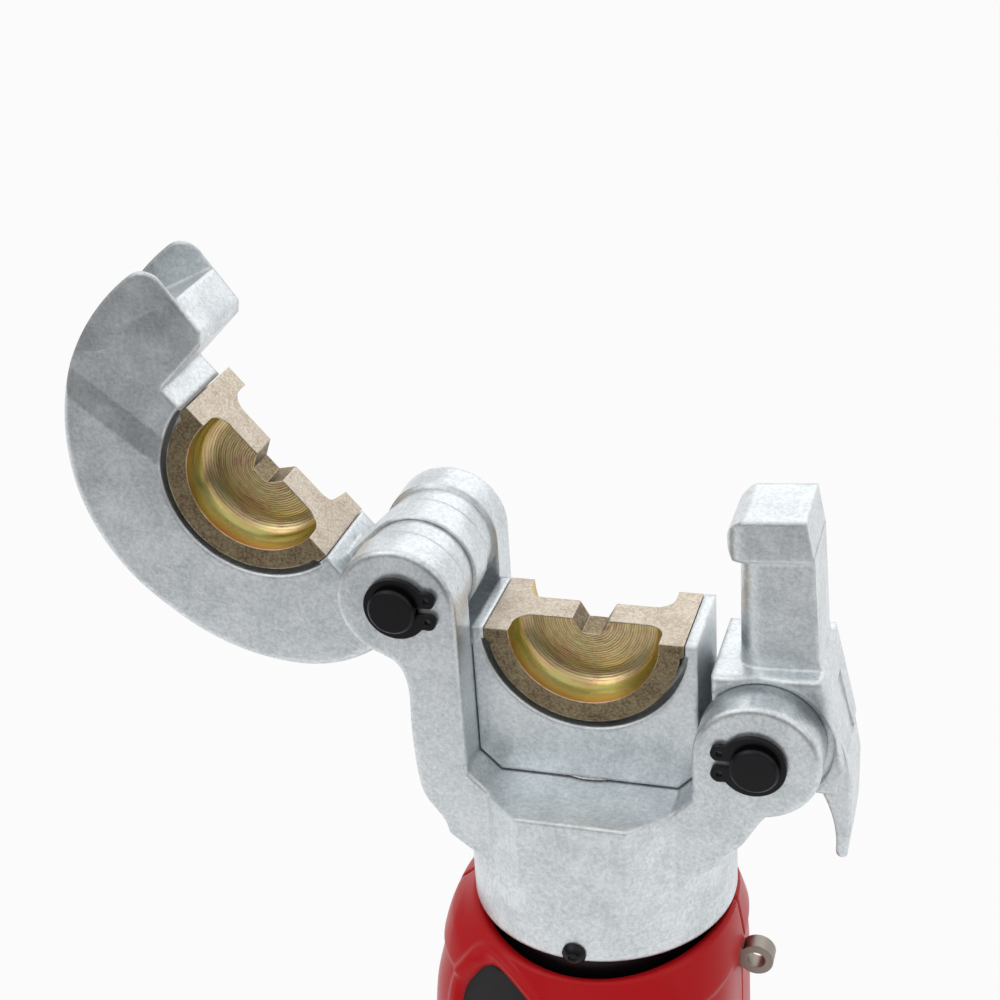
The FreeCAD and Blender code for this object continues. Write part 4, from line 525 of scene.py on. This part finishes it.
# The body's half widths to the hinge side, the latch side and front and back at each height, and the
# power of the rounded rectangle there. INLAY is the corners of the soft panel, across and up.
SHELL_LEFT = [(-1.3, 34.6), (-4.5, 37.2), (-7.5, 40.4), (-17.4, 43.2), (-27, 45.2), (-50, 46.8),
              (-98, 46.6), (-112, 40.2), (-126, 29.8), (-142, 25.2), (-175, 24.5), (-204, 25.2),
              (-214, 31), (-224, 53), (-230, 62), (-238, 63.6)]
SHELL_RIGHT = [(-1.3, 34.3), (-8, 35.4), (-14, 36.2), (-30, 36.6), (-100, 36.8), (-116, 33.2), (-136, 24.2),
               (-175, 23.3), (-204, 23.8), (-214, 28), (-225, 38), (-231, 41), (-238, 41.7)]
SHELL_DEPTH = [(-1.3, 34.4), (-10, 36.2), (-22, 37.9), (-60, 38.0), (-100, 37.4), (-112, 35), (-126, 27.6),
               (-140, 22.8), (-175, 21.8), (-204, 22.3), (-214, 26), (-225, 34.2), (-231, 35.6),
               (-238, 35.8)]
SHELL_POWER = [(-1.3, 2.2), (-14, 2.7), (-30, 3.3), (-100, 3.4), (-140, 2.9), (-205, 2.9), (-228, 4.6),
               (-238, 5.0)]
INLAY = [(-29, -13.5), (-24.5, -9.5), (-19, -10.5), (-13, -15), (-6, -23), (4, -31), (16, -37), (23, -41.5),
         (25.5, -47), (25.5, -84), (23, -91), (16, -95), (-20, -95), (-28, -92), (-32, -84), (-33, -40),
         (-32.5, -21)]
NECK_DIP = 5.4
RIM_STEP = 1.1
BORDER_LIFT = 1.2
PANEL_RECESS = 1.6
SEAM_DEPTH = 0.7
FOOT_LEVEL = -237.9
PANEL_WALL = 0.0006
RIB_PITCH = 4.4

# The lip rolled in from the shell's top edge: share of the way out from the neck, and drop.
NECK_LIPS = [(0.0, 5.0), (0.0, 1.2), (0.12, 0.25), (0.35, -0.35), (0.7, -0.45)]

# Opposite corners of the trigger's and the eye's slots, and the release button's hole: radius, start,
# end and height.
TRIGGER_SLOT = ((-70, -8.6, -118), (-30, 8.6, -84))
EYE_SLOT = ((30, -2.6, -23.2), (60, 2.6, -15.6))
RELEASE_HOLE = (6.4, -70, -30, -70.5)


def shell_skin(turn, height):
    """The body's outside: a rounded rectangle at each height, its top edge dipping to front and back."""
    left, right = flow(SHELL_LEFT, height), flow(SHELL_RIGHT, height)
    depth, power = flow(SHELL_DEPTH, height), flow(SHELL_POWER, height)
    x, y = round_box(turn, left, right, depth, power)
    dip = NECK_DIP * (1 - np.clip(np.abs(x) / 37.0, 0, 1) ** 2)
    z = height - dip * ease(height, -46, -6)
    return np.stack([x, y, z], axis=-1)


def outline_distance(points, outline):
    """Signed distance in the XZ plane from points to a closed outline, negative inside."""
    x, z = points[..., 0], points[..., 2]
    best = np.full(x.shape, 1e9)
    inside = np.zeros(x.shape, bool)
    corners = np.array(outline, float)
    for start, end in zip(corners, np.roll(corners, -1, axis=0)):
        way = end - start
        part = np.clip(((x - start[0]) * way[0] + (z - start[1]) * way[1]) / (way @ way), 0, 1)
        near = np.hypot(x - start[0] - part * way[0], z - start[1] - part * way[1])
        best = np.minimum(best, near)
        crosses = (start[1] > z) != (end[1] > z)
        side = x < (end[0] - start[0]) * (z - start[1]) / (end[1] - start[1] + 1e-12) + start[0]
        inside ^= crosses & side
    return np.where(inside, -best, best)


def smooth_outline(corners, steps=10):
    """A closed curve through the corners: Catmull-Rom pieces, steps points to each."""
    corners = np.array(corners, float)
    part = np.linspace(0, 1, steps, endpoint=False)[:, None, None]
    before, start, end, after = (np.roll(corners, shift, axis=0)[None] for shift in (1, 0, -1, -2))
    curve = (2 * start + (end - before) * part + (2 * before - 5 * start + 4 * end - after) * part ** 2
             + (3 * start - before - 3 * end + after) * part ** 3) / 2
    return curve.transpose(1, 0, 2).reshape(-1, 2)


def shell_height(turn, height):
    """The plain skin, how far the shell stands off it (neck rim, panel border and recess, seam line),
    and the distance to the panel's outline."""
    skin = shell_skin(turn, height)
    rim = RIM_STEP * ease(height, -15.5, -13.5)
    panel = outline_distance(skin, smooth_outline(INLAY))
    facing = ease(np.abs(skin[..., 1]), 12, 18)
    border = BORDER_LIFT * np.exp(-((panel - 2.1) / 1.7) ** 4)
    recess = -PANEL_RECESS * ease(-panel, -0.5, 0.3)
    rim = rim * ease(panel, 0.5, 3.0)
    lift = rim + (border + recess) * facing
    seam = -SEAM_DEPTH * np.exp(-(skin[..., 1] / 0.45) ** 2)
    return skin, lift + seam, panel


def shell_rows():
    """Heights of the shell's rows, closer together where its form changes quickly."""
    parts = [np.linspace(-1.3, -10, 22), np.linspace(-10.5, -44, 62), np.linspace(-45, -98, 80),
             np.linspace(-99, -145, 40), np.linspace(-147, -205, 24), np.linspace(-206.5, -236.5, 30)]
    return np.concatenate(parts)


def half_turns(side, count):
    """Directions from the latch side round to the hinge side, at the front (-1) or the back (1)."""
    even = np.linspace(0, math.pi, count)
    return side * (even + 0.06 * np.sin(4 * even))


def make_shell(name, side, settings):
    """One moulded half: the skin with its rim, borders and seam, a rolled lip at the neck, and a wall."""
    heights = shell_rows()
    turns = half_turns(side, 190)
    height, turn = np.meshgrid(heights, turns, indexing="ij")
    skin, lift, _ = shell_height(turn, height)
    normal = outward(skin, False) * -side
    points = skin + normal * lift[..., None]
    edge = points[0]
    neck = settings.neck_radius / MM
    direction = np.stack([np.cos(turns), np.sin(turns)], axis=-1)
    lips = []
    for part, drop in NECK_LIPS:
        ring = np.empty_like(edge)
        ring[:, :2] = direction * neck * (1 - part) + edge[:, :2] * part
        ring[:, 2] = edge[:, 2] - drop
        lips.append(ring)
    points = np.concatenate([np.array(lips), points], axis=0)
    foot = points[-1].copy()
    foot[:, 2] = FOOT_LEVEL
    inner = foot.copy()
    inner[:, :2] *= 0.9
    points = np.concatenate([points, foot[None], inner[None]], axis=0)
    points[..., 1] = side * np.maximum(points[..., 1] * side, 0.1)
    faces = grid_faces(len(points), len(turns), False, side < 0)
    return thicken(build_mesh(name, points, faces), settings.wall)


def make_inlay(name, side):
    """Soft panel let into the shell: the skin set back a little, cut to the outline under the border."""
    heights = np.linspace(-6, -98, 120)
    turns = half_turns(side, 200)
    height, turn = np.meshgrid(heights, turns, indexing="ij")
    skin, _, panel = shell_height(turn, height)
    normal = outward(skin, False) * -side
    crown = 0.5 * ease(-panel, 0.5, 6)
    points = skin + normal * (crown - 0.75)[..., None]
    faces = grid_faces(len(heights), len(turns), False, side < 0)
    flat = panel.reshape(-1)
    facing = np.abs(skin[..., 1]).reshape(-1)
    keep = (flat[faces].max(axis=1) < 1.2) & (facing[faces].min(axis=1) > 16)
    used = np.unique(faces[keep])
    order = np.full(flat.size, -1)
    order[used] = np.arange(used.size)
    return thicken(build_mesh(name, points.reshape(-1, 3)[used], order[faces[keep]]), PANEL_WALL)


def make_sleeve(name):
    """Rubber sleeve on the handle: the skin grown, ends rolled in, with finger ribs at the hinge side."""
    heights = np.linspace(-150.5, -207.5, 150)
    turns = np.linspace(0, 2 * math.pi, 180, endpoint=False)
    height, turn = np.meshgrid(heights, turns, indexing="ij")
    skin = shell_skin(turn, height)
    normal = -outward(skin, True)
    ends = np.minimum(height.max() - height, height - height.min())
    roll = np.sqrt(np.clip(1 - (1 - np.clip(ends / 2.0, 0, 1)) ** 2, 0, 1))
    wave = height * math.pi / RIB_PITCH
    full = ease(ends, 4, 8)
    ribs = 0.5 * np.sin(2 * wave) * ease(-np.cos(turn), 0.2, 0.75) * full
    pads = 0.35 * np.cos(wave) * ease(np.cos(turn), 0.3, 0.8) * full
    lift = 0.15 + 1.35 * roll + ribs + pads
    points = skin + normal * lift[..., None]
    faces = grid_faces(len(heights), len(turns), True)
    return build_mesh(name, points, faces)


def spring_grid(radius, wire, start, end, turns):
    """Coil about Z: the line R(cos a, sin a) rises evenly with a, and the wire's circle goes along it."""
    along = np.linspace(0, 1, turns * 36 + 1)
    turn = 2 * math.pi * turns * along
    radial = np.stack([np.cos(turn), np.sin(turn), np.zeros_like(turn)], axis=-1)
    line = radial * radius
    line[:, 2] = start + wire + (end - start - 2 * wire) * along
    ahead = np.gradient(line, axis=0)
    ahead /= np.linalg.norm(ahead, axis=1, keepdims=True)
    side = np.cross(ahead, radial)
    around = np.linspace(0, 2 * math.pi, 12, endpoint=False)[None, :, None]
    points = line[:, None] + wire * (np.cos(around) * radial[:, None] + np.sin(around) * side[:, None])
    rows, columns = points.shape[:2]
    faces = grid_faces(rows, columns, True, True).tolist()
    faces += [list(range(columns - 1, -1, -1)), list(range((rows - 1) * columns, rows * columns))]
    return points, faces


def make_block(name, low, high):
    """A plain closed box used only to cut with: eight corners and six faces."""
    x, y, z = zip(low, high)
    corners = [(x[i], y[j], z[k]) for i in (0, 1) for j in (0, 1) for k in (0, 1)]
    faces = [(0, 1, 3, 2), (4, 6, 7, 5), (0, 4, 5, 1), (2, 3, 7, 6), (0, 2, 6, 4), (1, 5, 7, 3)]
    return build_mesh(name, corners, faces)


def make_tube_cutter(name, radius, start, end, height):
    """A closed round bar along X used only to cut with."""
    turns = np.linspace(0, 2 * math.pi, 48, endpoint=False)
    ring = np.stack([0 * turns, radius * np.cos(turns), height + radius * np.sin(turns)], axis=-1)
    first, last = ring + [start, 0, 0], ring + [end, 0, 0]
    points = np.concatenate([first, last])
    count = len(turns)
    step = np.arange(count)
    sides = np.stack([step, (step + 1) % count, (step + 1) % count + count, step + count], axis=-1)
    faces = [list(side) for side in sides] + [list(range(count - 1, -1, -1)), list(range(count, 2 * count))]
    return build_mesh(name, points, faces)


class HeadFinish(bpy.types.PropertyGroup):
    """Colours and grain of the plated head and its dies"""
    zinc_light: bpy.props.FloatVectorProperty(
        name="Zinc light", description="Brightest plating colour", subtype="COLOR",
        default=(0.88, 0.92, 0.94), min=0, max=1)
    zinc_dark: bpy.props.FloatVectorProperty(
        name="Zinc dark", description="Darkest plating colour", subtype="COLOR",
        default=(0.56, 0.60, 0.625), min=0, max=1)
    pit: bpy.props.FloatVectorProperty(
        name="Pits", description="Colour of the fine dark pits in the plating", subtype="COLOR",
        default=(0.20, 0.21, 0.23), min=0, max=1)
    # Painted highlight colour for the forgings' edges.
    zinc_edge_highlight: bpy.props.FloatVectorProperty(
        name="Zinc edge highlight", description="Painted highlight along the edges", subtype="COLOR",
        default=(0.97, 0.98, 0.98), min=0, max=1)
    chromate_brown: bpy.props.FloatVectorProperty(
        name="Chromate brown", description="Dark flecks on the dies' rims", subtype="COLOR",
        default=(0.15, 0.095, 0.065), min=0, max=1)
    chromate_olive: bpy.props.FloatVectorProperty(
        name="Chromate olive", description="Lighter flecks on the dies' rims", subtype="COLOR",
        default=(0.40, 0.34, 0.20), min=0, max=1)
    chromate_tan: bpy.props.FloatVectorProperty(
        name="Chromate tan", description="Dark flecks on the dies' flats", subtype="COLOR",
        default=(0.45, 0.36, 0.28), min=0, max=1)
    chromate_pale: bpy.props.FloatVectorProperty(
        name="Chromate pale", description="Pale flecks on the dies' flats", subtype="COLOR",
        default=(0.76, 0.70, 0.60), min=0, max=1)
    # Painted highlight colour for the dies' edges.
    chromate_edge_highlight: bpy.props.FloatVectorProperty(
        name="Chromate edge highlight", description="Painted highlight along the dies' edges", subtype="COLOR",
        default=(0.86, 0.80, 0.68), min=0, max=1)
    web: bpy.props.FloatProperty(
        name="Web", description="From the dies' middle plane to the floors of their bowls",
        subtype="DISTANCE", default=0.0043, min=0.001, max=0.01)
    roughness: bpy.props.FloatProperty(
        name="Plating roughness", description="Mean roughness of the zinc", default=0.34, min=0, max=1)
    edge_radius: bpy.props.FloatProperty(
        name="Forged edge radius", description="Softness of the forgings' edges", subtype="DISTANCE",
        default=0.0016, min=0, max=0.01)


class BodyFinish(bpy.types.PropertyGroup):
    """Sizes and colours of the moulded body"""
    neck_radius: bpy.props.FloatProperty(
        name="Neck radius", description="Hole that the cylinder passes through", subtype="DISTANCE",
        default=0.0329, min=0.032, max=0.034)
    wall: bpy.props.FloatProperty(
        name="Shell wall", description="Thickness of the moulded shells", subtype="DISTANCE",
        default=0.002, min=0.001, max=0.003)
    red: bpy.props.FloatVectorProperty(
        name="Shell red", description="Colour of the moulded shells", subtype="COLOR",
        default=(0.62, 0.008, 0.012), min=0, max=1)
    rubber: bpy.props.FloatVectorProperty(
        name="Rubber", description="Colour of the soft overmoulding", subtype="COLOR",
        default=(0.035, 0.035, 0.038), min=0, max=1)
    black: bpy.props.FloatVectorProperty(
        name="Black plastic", description="Colour of the battery and controls", subtype="COLOR",
        default=(0.022, 0.022, 0.024), min=0, max=1)


class Studio(bpy.types.PropertyGroup):
    """The floor, light and camera"""
    floor: bpy.props.FloatVectorProperty(
        name="Floor", description="Colour of the floor", subtype="COLOR",
        default=(0.86, 0.86, 0.86), min=0, max=1)
    world: bpy.props.FloatProperty(
        name="Sky level", description="Brightness of the even surround", default=0.5, min=0)
    low_sky: bpy.props.FloatProperty(
        name="Low sky", description="Reflected brightness low down on the camera's side",
        default=0.06, min=0, max=1)
    key: bpy.props.FloatProperty(
        name="Key light", description="Power of the main lamp", unit="POWER", default=4.5, min=0)
    fill: bpy.props.FloatProperty(
        name="Fill light", description="Power of the side lamp", unit="POWER", default=1.8, min=0)
    azimuth: bpy.props.FloatProperty(
        name="Camera azimuth", description="Turn of the view about the head's axis", subtype="ANGLE",
        default=math.radians(17.877), min=-math.pi, max=math.pi)
    elevation: bpy.props.FloatProperty(
        name="Camera elevation", description="Height of the view above level", subtype="ANGLE",
        default=math.radians(26.390), min=-math.pi, max=math.pi)
    roll: bpy.props.FloatProperty(
        name="Camera roll", description="Tilt of the picture", subtype="ANGLE",
        default=math.radians(-3.892), min=-math.pi, max=math.pi)
    distance: bpy.props.FloatProperty(
        name="Camera distance", description="From the camera to its target", unit="LENGTH",
        default=0.45646, min=0.1)
    target: bpy.props.FloatVectorProperty(
        name="Camera target", description="Point the camera looks at, from the collar's lower rim",
        subtype="TRANSLATION", default=(-0.022746, 0.0, 0.111256))
    lens: bpy.props.FloatProperty(
        name="Lens", description="Focal length for a 36 mm wide picture in millimetres",
        default=66.982, min=1)


class CRIMP_OT_finish_forgings(bpy.types.Operator):
    """Plates the yoke, jaw, latch and ram block with zinc"""
    bl_idname = "crimp.finish_forgings"
    bl_label = "Plate the Forgings"

    def execute(self, context):
        dress(["yoke", "upper_jaw", "latch", "ram_block"], zinc_material(context.scene.head_finish))
        return {"FINISHED"}


class CRIMP_OT_finish_dies(bpy.types.Operator):
    """Passivates the two dies in yellow chromate, with turned bowls"""
    bl_idname = "crimp.finish_dies"
    bl_label = "Passivate the Dies"

    def execute(self, context):
        settings = context.scene.head_finish
        low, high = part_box("lower_die")
        lower_centre = ((low[0] + high[0]) / 2, 0.0, high[2])
        dress(["lower_die"], chromate_material("yellow chromate, lower", lower_centre, (0, 0, 1), settings))
        centre, upward = upper_die_flat()
        dress(["upper_die"], chromate_material("yellow chromate, upper", centre, upward, settings))
        return {"FINISHED"}


def upper_die_flat():
    """Middle of the upper die's flat and the way it faces, from its outermost points in the open jaw."""
    mesh = frame["nodes"]["upper_die"].data
    points = np.empty(len(mesh.vertices) * 3)
    mesh.vertices.foreach_get("co", points)
    points = points.reshape(-1, 3)
    joint = [item for item in frame["joints"] if item["name"] == "jaw_hinge"][0]
    angle = math.radians(joint["range_deg"][1])
    flat = np.array([math.sin(angle), 0.0, -math.cos(angle)])
    across = np.array([math.cos(angle), 0.0, math.sin(angle)])
    depth = points @ flat
    along = points @ across
    middle = across * (along.max() + along.min()) / 2 + flat * depth.max()
    return tuple(middle), tuple(flat)


class CRIMP_OT_finish_small_metal(bpy.types.Operator):
    """Finishes pins, rings, screws, the cylinder, the eye and the hidden steel"""
    bl_idname = "crimp.finish_small_metal"
    bl_label = "Finish the Small Metal"

    def execute(self, context):
        for name, colour, roughness, metallic, nodes in METALS:
            dress(nodes, satin_metal(name, colour, roughness, metallic))
        return {"FINISHED"}


class CRIMP_OT_make_springs(bpy.types.Operator):
    """Makes the three springs of the ram, the trigger and the release button, each parented to that part's
    body.
    """
    bl_idname = "crimp.make_springs"
    bl_label = "Make the Springs"

    def execute(self, context):
        material = satin_metal("coiled spring wire", SPRING_WIRE, 0.3)
        for name, body, node, joint, radius, wire, start, end, turns, level, keep in SPRINGS:
            points, faces = spring_grid(radius, wire, start, end, turns)
            if level is None:
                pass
            else:
                points = points[..., [2, 0, 1]] + [0, 0, level]
            piece = build_mesh(name, points, faces)
            finish_piece(piece, material, body, "spring_steel", node)
            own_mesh(piece)
        return {"FINISHED"}


class CRIMP_OT_make_shells(bpy.types.Operator):
    """Makes the two moulded shells, with their neck rim, panel borders and openings"""
    bl_idname = "crimp.make_shells"
    bl_label = "Make the Shells"

    def execute(self, context):
        settings = context.scene.body_finish
        material = moulded_material("red shell", settings.red, 0.32)
        for name, side, node in (("shell_front", -1, "housing_front"), ("shell_back", 1, "housing_back")):
            piece = make_shell(name, side, settings)
            carve(piece, [make_block("trigger slot", *TRIGGER_SLOT),
                          make_tube_cutter("release hole", *RELEASE_HOLE),
                          make_block("eye slot", *EYE_SLOT)])
            finish_piece(piece, material, "body", "red_plastic", node)
        return {"FINISHED"}


class CRIMP_OT_make_soft_grips(bpy.types.Operator):
    """Makes the soft side panels and the ribbed sleeve round the handle"""
    bl_idname = "crimp.make_soft_grips"
    bl_label = "Make the Soft Grips"

    def execute(self, context):
        settings = context.scene.body_finish
        rubber = moulded_material("grip rubber", settings.rubber, 0.62, 1400.0, 0.0001)
        for name, side, node in (("panel_front", -1, "grip_inlay_front"),
                                 ("panel_back", 1, "grip_inlay_back")):
            finish_piece(make_inlay(name, side), rubber, "body", "dark_rubber", node)
        finish_piece(make_sleeve("handle_sleeve"), rubber, "body", "black_plastic", "grip_sleeve")
        return {"FINISHED"}


class CRIMP_OT_finish_body(bpy.types.Operator):
    """Finishes the controls, battery and seals"""
    bl_idname = "crimp.finish_body"
    bl_label = "Finish the Body"

    def execute(self, context):
        settings = context.scene.body_finish
        rubber = moulded_material("soft rubber", settings.rubber, 0.62, 1400.0, 0.0001)
        dress(["oil_bladder", "piston_seal", "battery_button_front", "battery_button_back"], rubber)
        black = moulded_material("black plastic", settings.black, 0.48)
        dress(["battery_case", "trigger", "trigger_switch", "release_button"], black)
        dress(["circuit_board"], moulded_material("board laminate", (0.02, 0.12, 0.05), 0.35))
        dress(["battery_cells"], moulded_material("cell sleeve", (0.05, 0.18, 0.30), 0.3))
        return {"FINISHED"}


def view_axes(studio):
    """The camera's right, up and back directions from azimuth, elevation and roll."""
    azimuth, elevation, roll = studio.azimuth, studio.elevation, studio.roll
    back = np.array([math.sin(azimuth) * math.cos(elevation), -math.cos(azimuth) * math.cos(elevation),
                     math.sin(elevation)])
    level = np.array([math.cos(azimuth), math.sin(azimuth), 0.0])
    upright = np.cross(back, level)
    right = math.cos(roll) * level + math.sin(roll) * upright
    up = -math.sin(roll) * level + math.cos(roll) * upright
    return right, up, back


class CRIMP_OT_set_stage(bpy.types.Operator):
    """Sets the floor, the lamps, the sky and the camera"""
    bl_idname = "crimp.set_stage"
    bl_label = "Set the Stage"

    def execute(self, context):
        studio = context.scene.crimp_studio
        make_floor(studio)
        make_lamps(context.scene, studio)
        make_camera(context.scene, studio)
        context.scene.view_settings.view_transform = "Standard"
        return {"FINISHED"}


def make_floor(studio):
    """A wide plane under the battery, white where the camera sees it away from the shadow."""
    size = 6.0
    corners = [(-size, -size, 0), (size, -size, 0), (size, size, 0), (-size, size, 0)]
    mesh = bpy.data.meshes.new("floor")
    mesh.from_pydata(corners, [], [(0, 1, 2, 3)])
    floor = bpy.data.objects.new("floor", mesh)
    bpy.context.scene.collection.objects.link(floor)
    material = bpy.data.materials.new("pale floor")
    wiring = fresh_wiring(material)
    paint = wiring.add("ShaderNodeBsdfDiffuse", {"Color": tuple(studio.floor)})
    path = wiring.add("ShaderNodeLightPath")
    place = wiring.add("ShaderNodeTexCoord").outputs["Object"]
    way = wiring.add("ShaderNodeSeparateXYZ", {"Vector": place})
    behind = wiring.spread(way.outputs["Y"], *FLOOR_DIM, studio.low_sky, 1.0)
    level = wiring.maths("MAXIMUM", behind, path.outputs["Is Camera Ray"])
    glow = wiring.add("ShaderNodeEmission", {"Color": (1, 1, 1), "Strength": level})
    share = wiring.times(path.outputs["Is Camera Ray"], FLOOR_SEEN)
    mirrored = wiring.times(path.outputs["Is Glossy Ray"], FLOOR_MIRRORED)
    share = wiring.maths("MAXIMUM", share, mirrored)
    blend = wiring.add("ShaderNodeMixShader", {0: share, 1: paint, 2: glow})
    wiring.add("ShaderNodeOutputMaterial", {"Surface": blend})
    mesh.materials.append(material)


def make_lamps(scene, studio):
    """The soft boxes, each turned to point at the head, and the sky."""
    head = np.array([0.0, 0.0, COLLAR_HEIGHT + 0.08])
    for name, place, size, power in LAMPS:
        data = bpy.data.lights.new(name, "AREA")
        data.shape = "RECTANGLE"
        data.size, data.size_y = size
        data.energy = getattr(studio, power)
        light = bpy.data.objects.new(name, data)
        light.location = place
        way = head - np.array(place)
        turn = math.atan2(way[0], -way[1])
        tilt = math.atan2(math.hypot(way[0], way[1]), -way[2])
        light.rotation_euler = (tilt, 0.0, turn + math.pi)
        scene.collection.objects.link(light)
    scene.world = make_sky(studio)


def make_sky(studio):
    """An even surround: white to the camera and behind the tool, dimmer low down on the camera's side."""
    world = bpy.data.worlds.new("studio")
    wiring = fresh_wiring(world)
    direction = wiring.add("ShaderNodeTexCoord").outputs["Generated"]
    way = wiring.add("ShaderNodeSeparateXYZ", {"Vector": direction})
    path = wiring.add("ShaderNodeLightPath")
    rise = wiring.spread(way.outputs["Z"], -0.1, 0.75, studio.low_sky, 1.0)
    behind = wiring.spread(way.outputs["Y"], -0.1, 0.5)
    seen = wiring.maths("MAXIMUM", rise, behind)
    reflected = wiring.times(seen, path.outputs["Is Glossy Ray"])
    diffuse = wiring.maths("SUBTRACT", 1.0, path.outputs["Is Glossy Ray"])
    level = wiring.maths("ADD", reflected, wiring.times(diffuse, studio.world))
    level = wiring.maths("MAXIMUM", level, path.outputs["Is Camera Ray"])
    background = wiring.add("ShaderNodeBackground", {"Color": (1.0, 1.0, 1.0), "Strength": level})
    wiring.add("ShaderNodeOutputWorld", {"Surface": background})
    return world


def make_camera(scene, studio):
    """A camera that looks at the target from the photograph's direction and distance."""
    data = bpy.data.cameras.new("camera")
    data.sensor_width = 36.0
    data.lens = studio.lens
    data.clip_start = 0.01
    camera = bpy.data.objects.new("camera", data)
    right, up, back = view_axes(studio)
    target = np.array(studio.target) + np.array([0.0, 0.0, COLLAR_HEIGHT])
    spot = target + back * studio.distance
    columns = np.eye(4)
    columns[:3, 0], columns[:3, 1], columns[:3, 2], columns[:3, 3] = right, up, back, spot
    scene.collection.objects.link(camera)
    camera.matrix_world = Matrix(columns.tolist())
    scene.camera = camera


class CRIMP_PT_panel(bpy.types.Panel):
    """Lists the tool's finishes and stage"""
    bl_label = "Crimping Tool"
    bl_idname = "CRIMP_PT_panel"
    bl_space_type = "VIEW_3D"
    bl_region_type = "UI"
    bl_category = "Crimping Tool"

    def draw(self, context):
        layout = self.layout
        for settings in (context.scene.head_finish, context.scene.body_finish, context.scene.crimp_studio):
            column = layout.column(align=True)
            for name in settings.__annotations__:
                column.prop(settings, name)
        for operator in OPERATORS:
            layout.operator(operator.bl_idname)


SETTINGS = [HeadFinish, BodyFinish, Studio]
OPERATORS = [CRIMP_OT_finish_forgings, CRIMP_OT_finish_dies, CRIMP_OT_finish_small_metal,
             CRIMP_OT_make_springs, CRIMP_OT_make_shells, CRIMP_OT_make_soft_grips, CRIMP_OT_finish_body,
             CRIMP_OT_set_stage]
CLASSES = [*SETTINGS, *OPERATORS, CRIMP_PT_panel]


def register():
    """Adds the classes and the scene's three groups of settings."""
    for item in CLASSES:
        bpy.utils.register_class(item)
    bpy.types.Scene.head_finish = bpy.props.PointerProperty(type=HeadFinish)
    bpy.types.Scene.body_finish = bpy.props.PointerProperty(type=BodyFinish)
    bpy.types.Scene.crimp_studio = bpy.props.PointerProperty(type=Studio)


def unregister():
    """Takes away what register adds."""
    del bpy.types.Scene.crimp_studio
    del bpy.types.Scene.body_finish
    del bpy.types.Scene.head_finish
    for item in reversed(CLASSES):
        bpy.utils.unregister_class(item)


def main():
    """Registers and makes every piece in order."""
    register()
    bpy.ops.crimp.finish_forgings()
    bpy.ops.crimp.finish_dies()
    bpy.ops.crimp.finish_small_metal()
    bpy.ops.crimp.make_springs()
    bpy.ops.crimp.make_shells()
    bpy.ops.crimp.make_soft_grips()
    bpy.ops.crimp.finish_body()
    bpy.ops.crimp.set_stage()


if __name__ == "__main__":
    main()
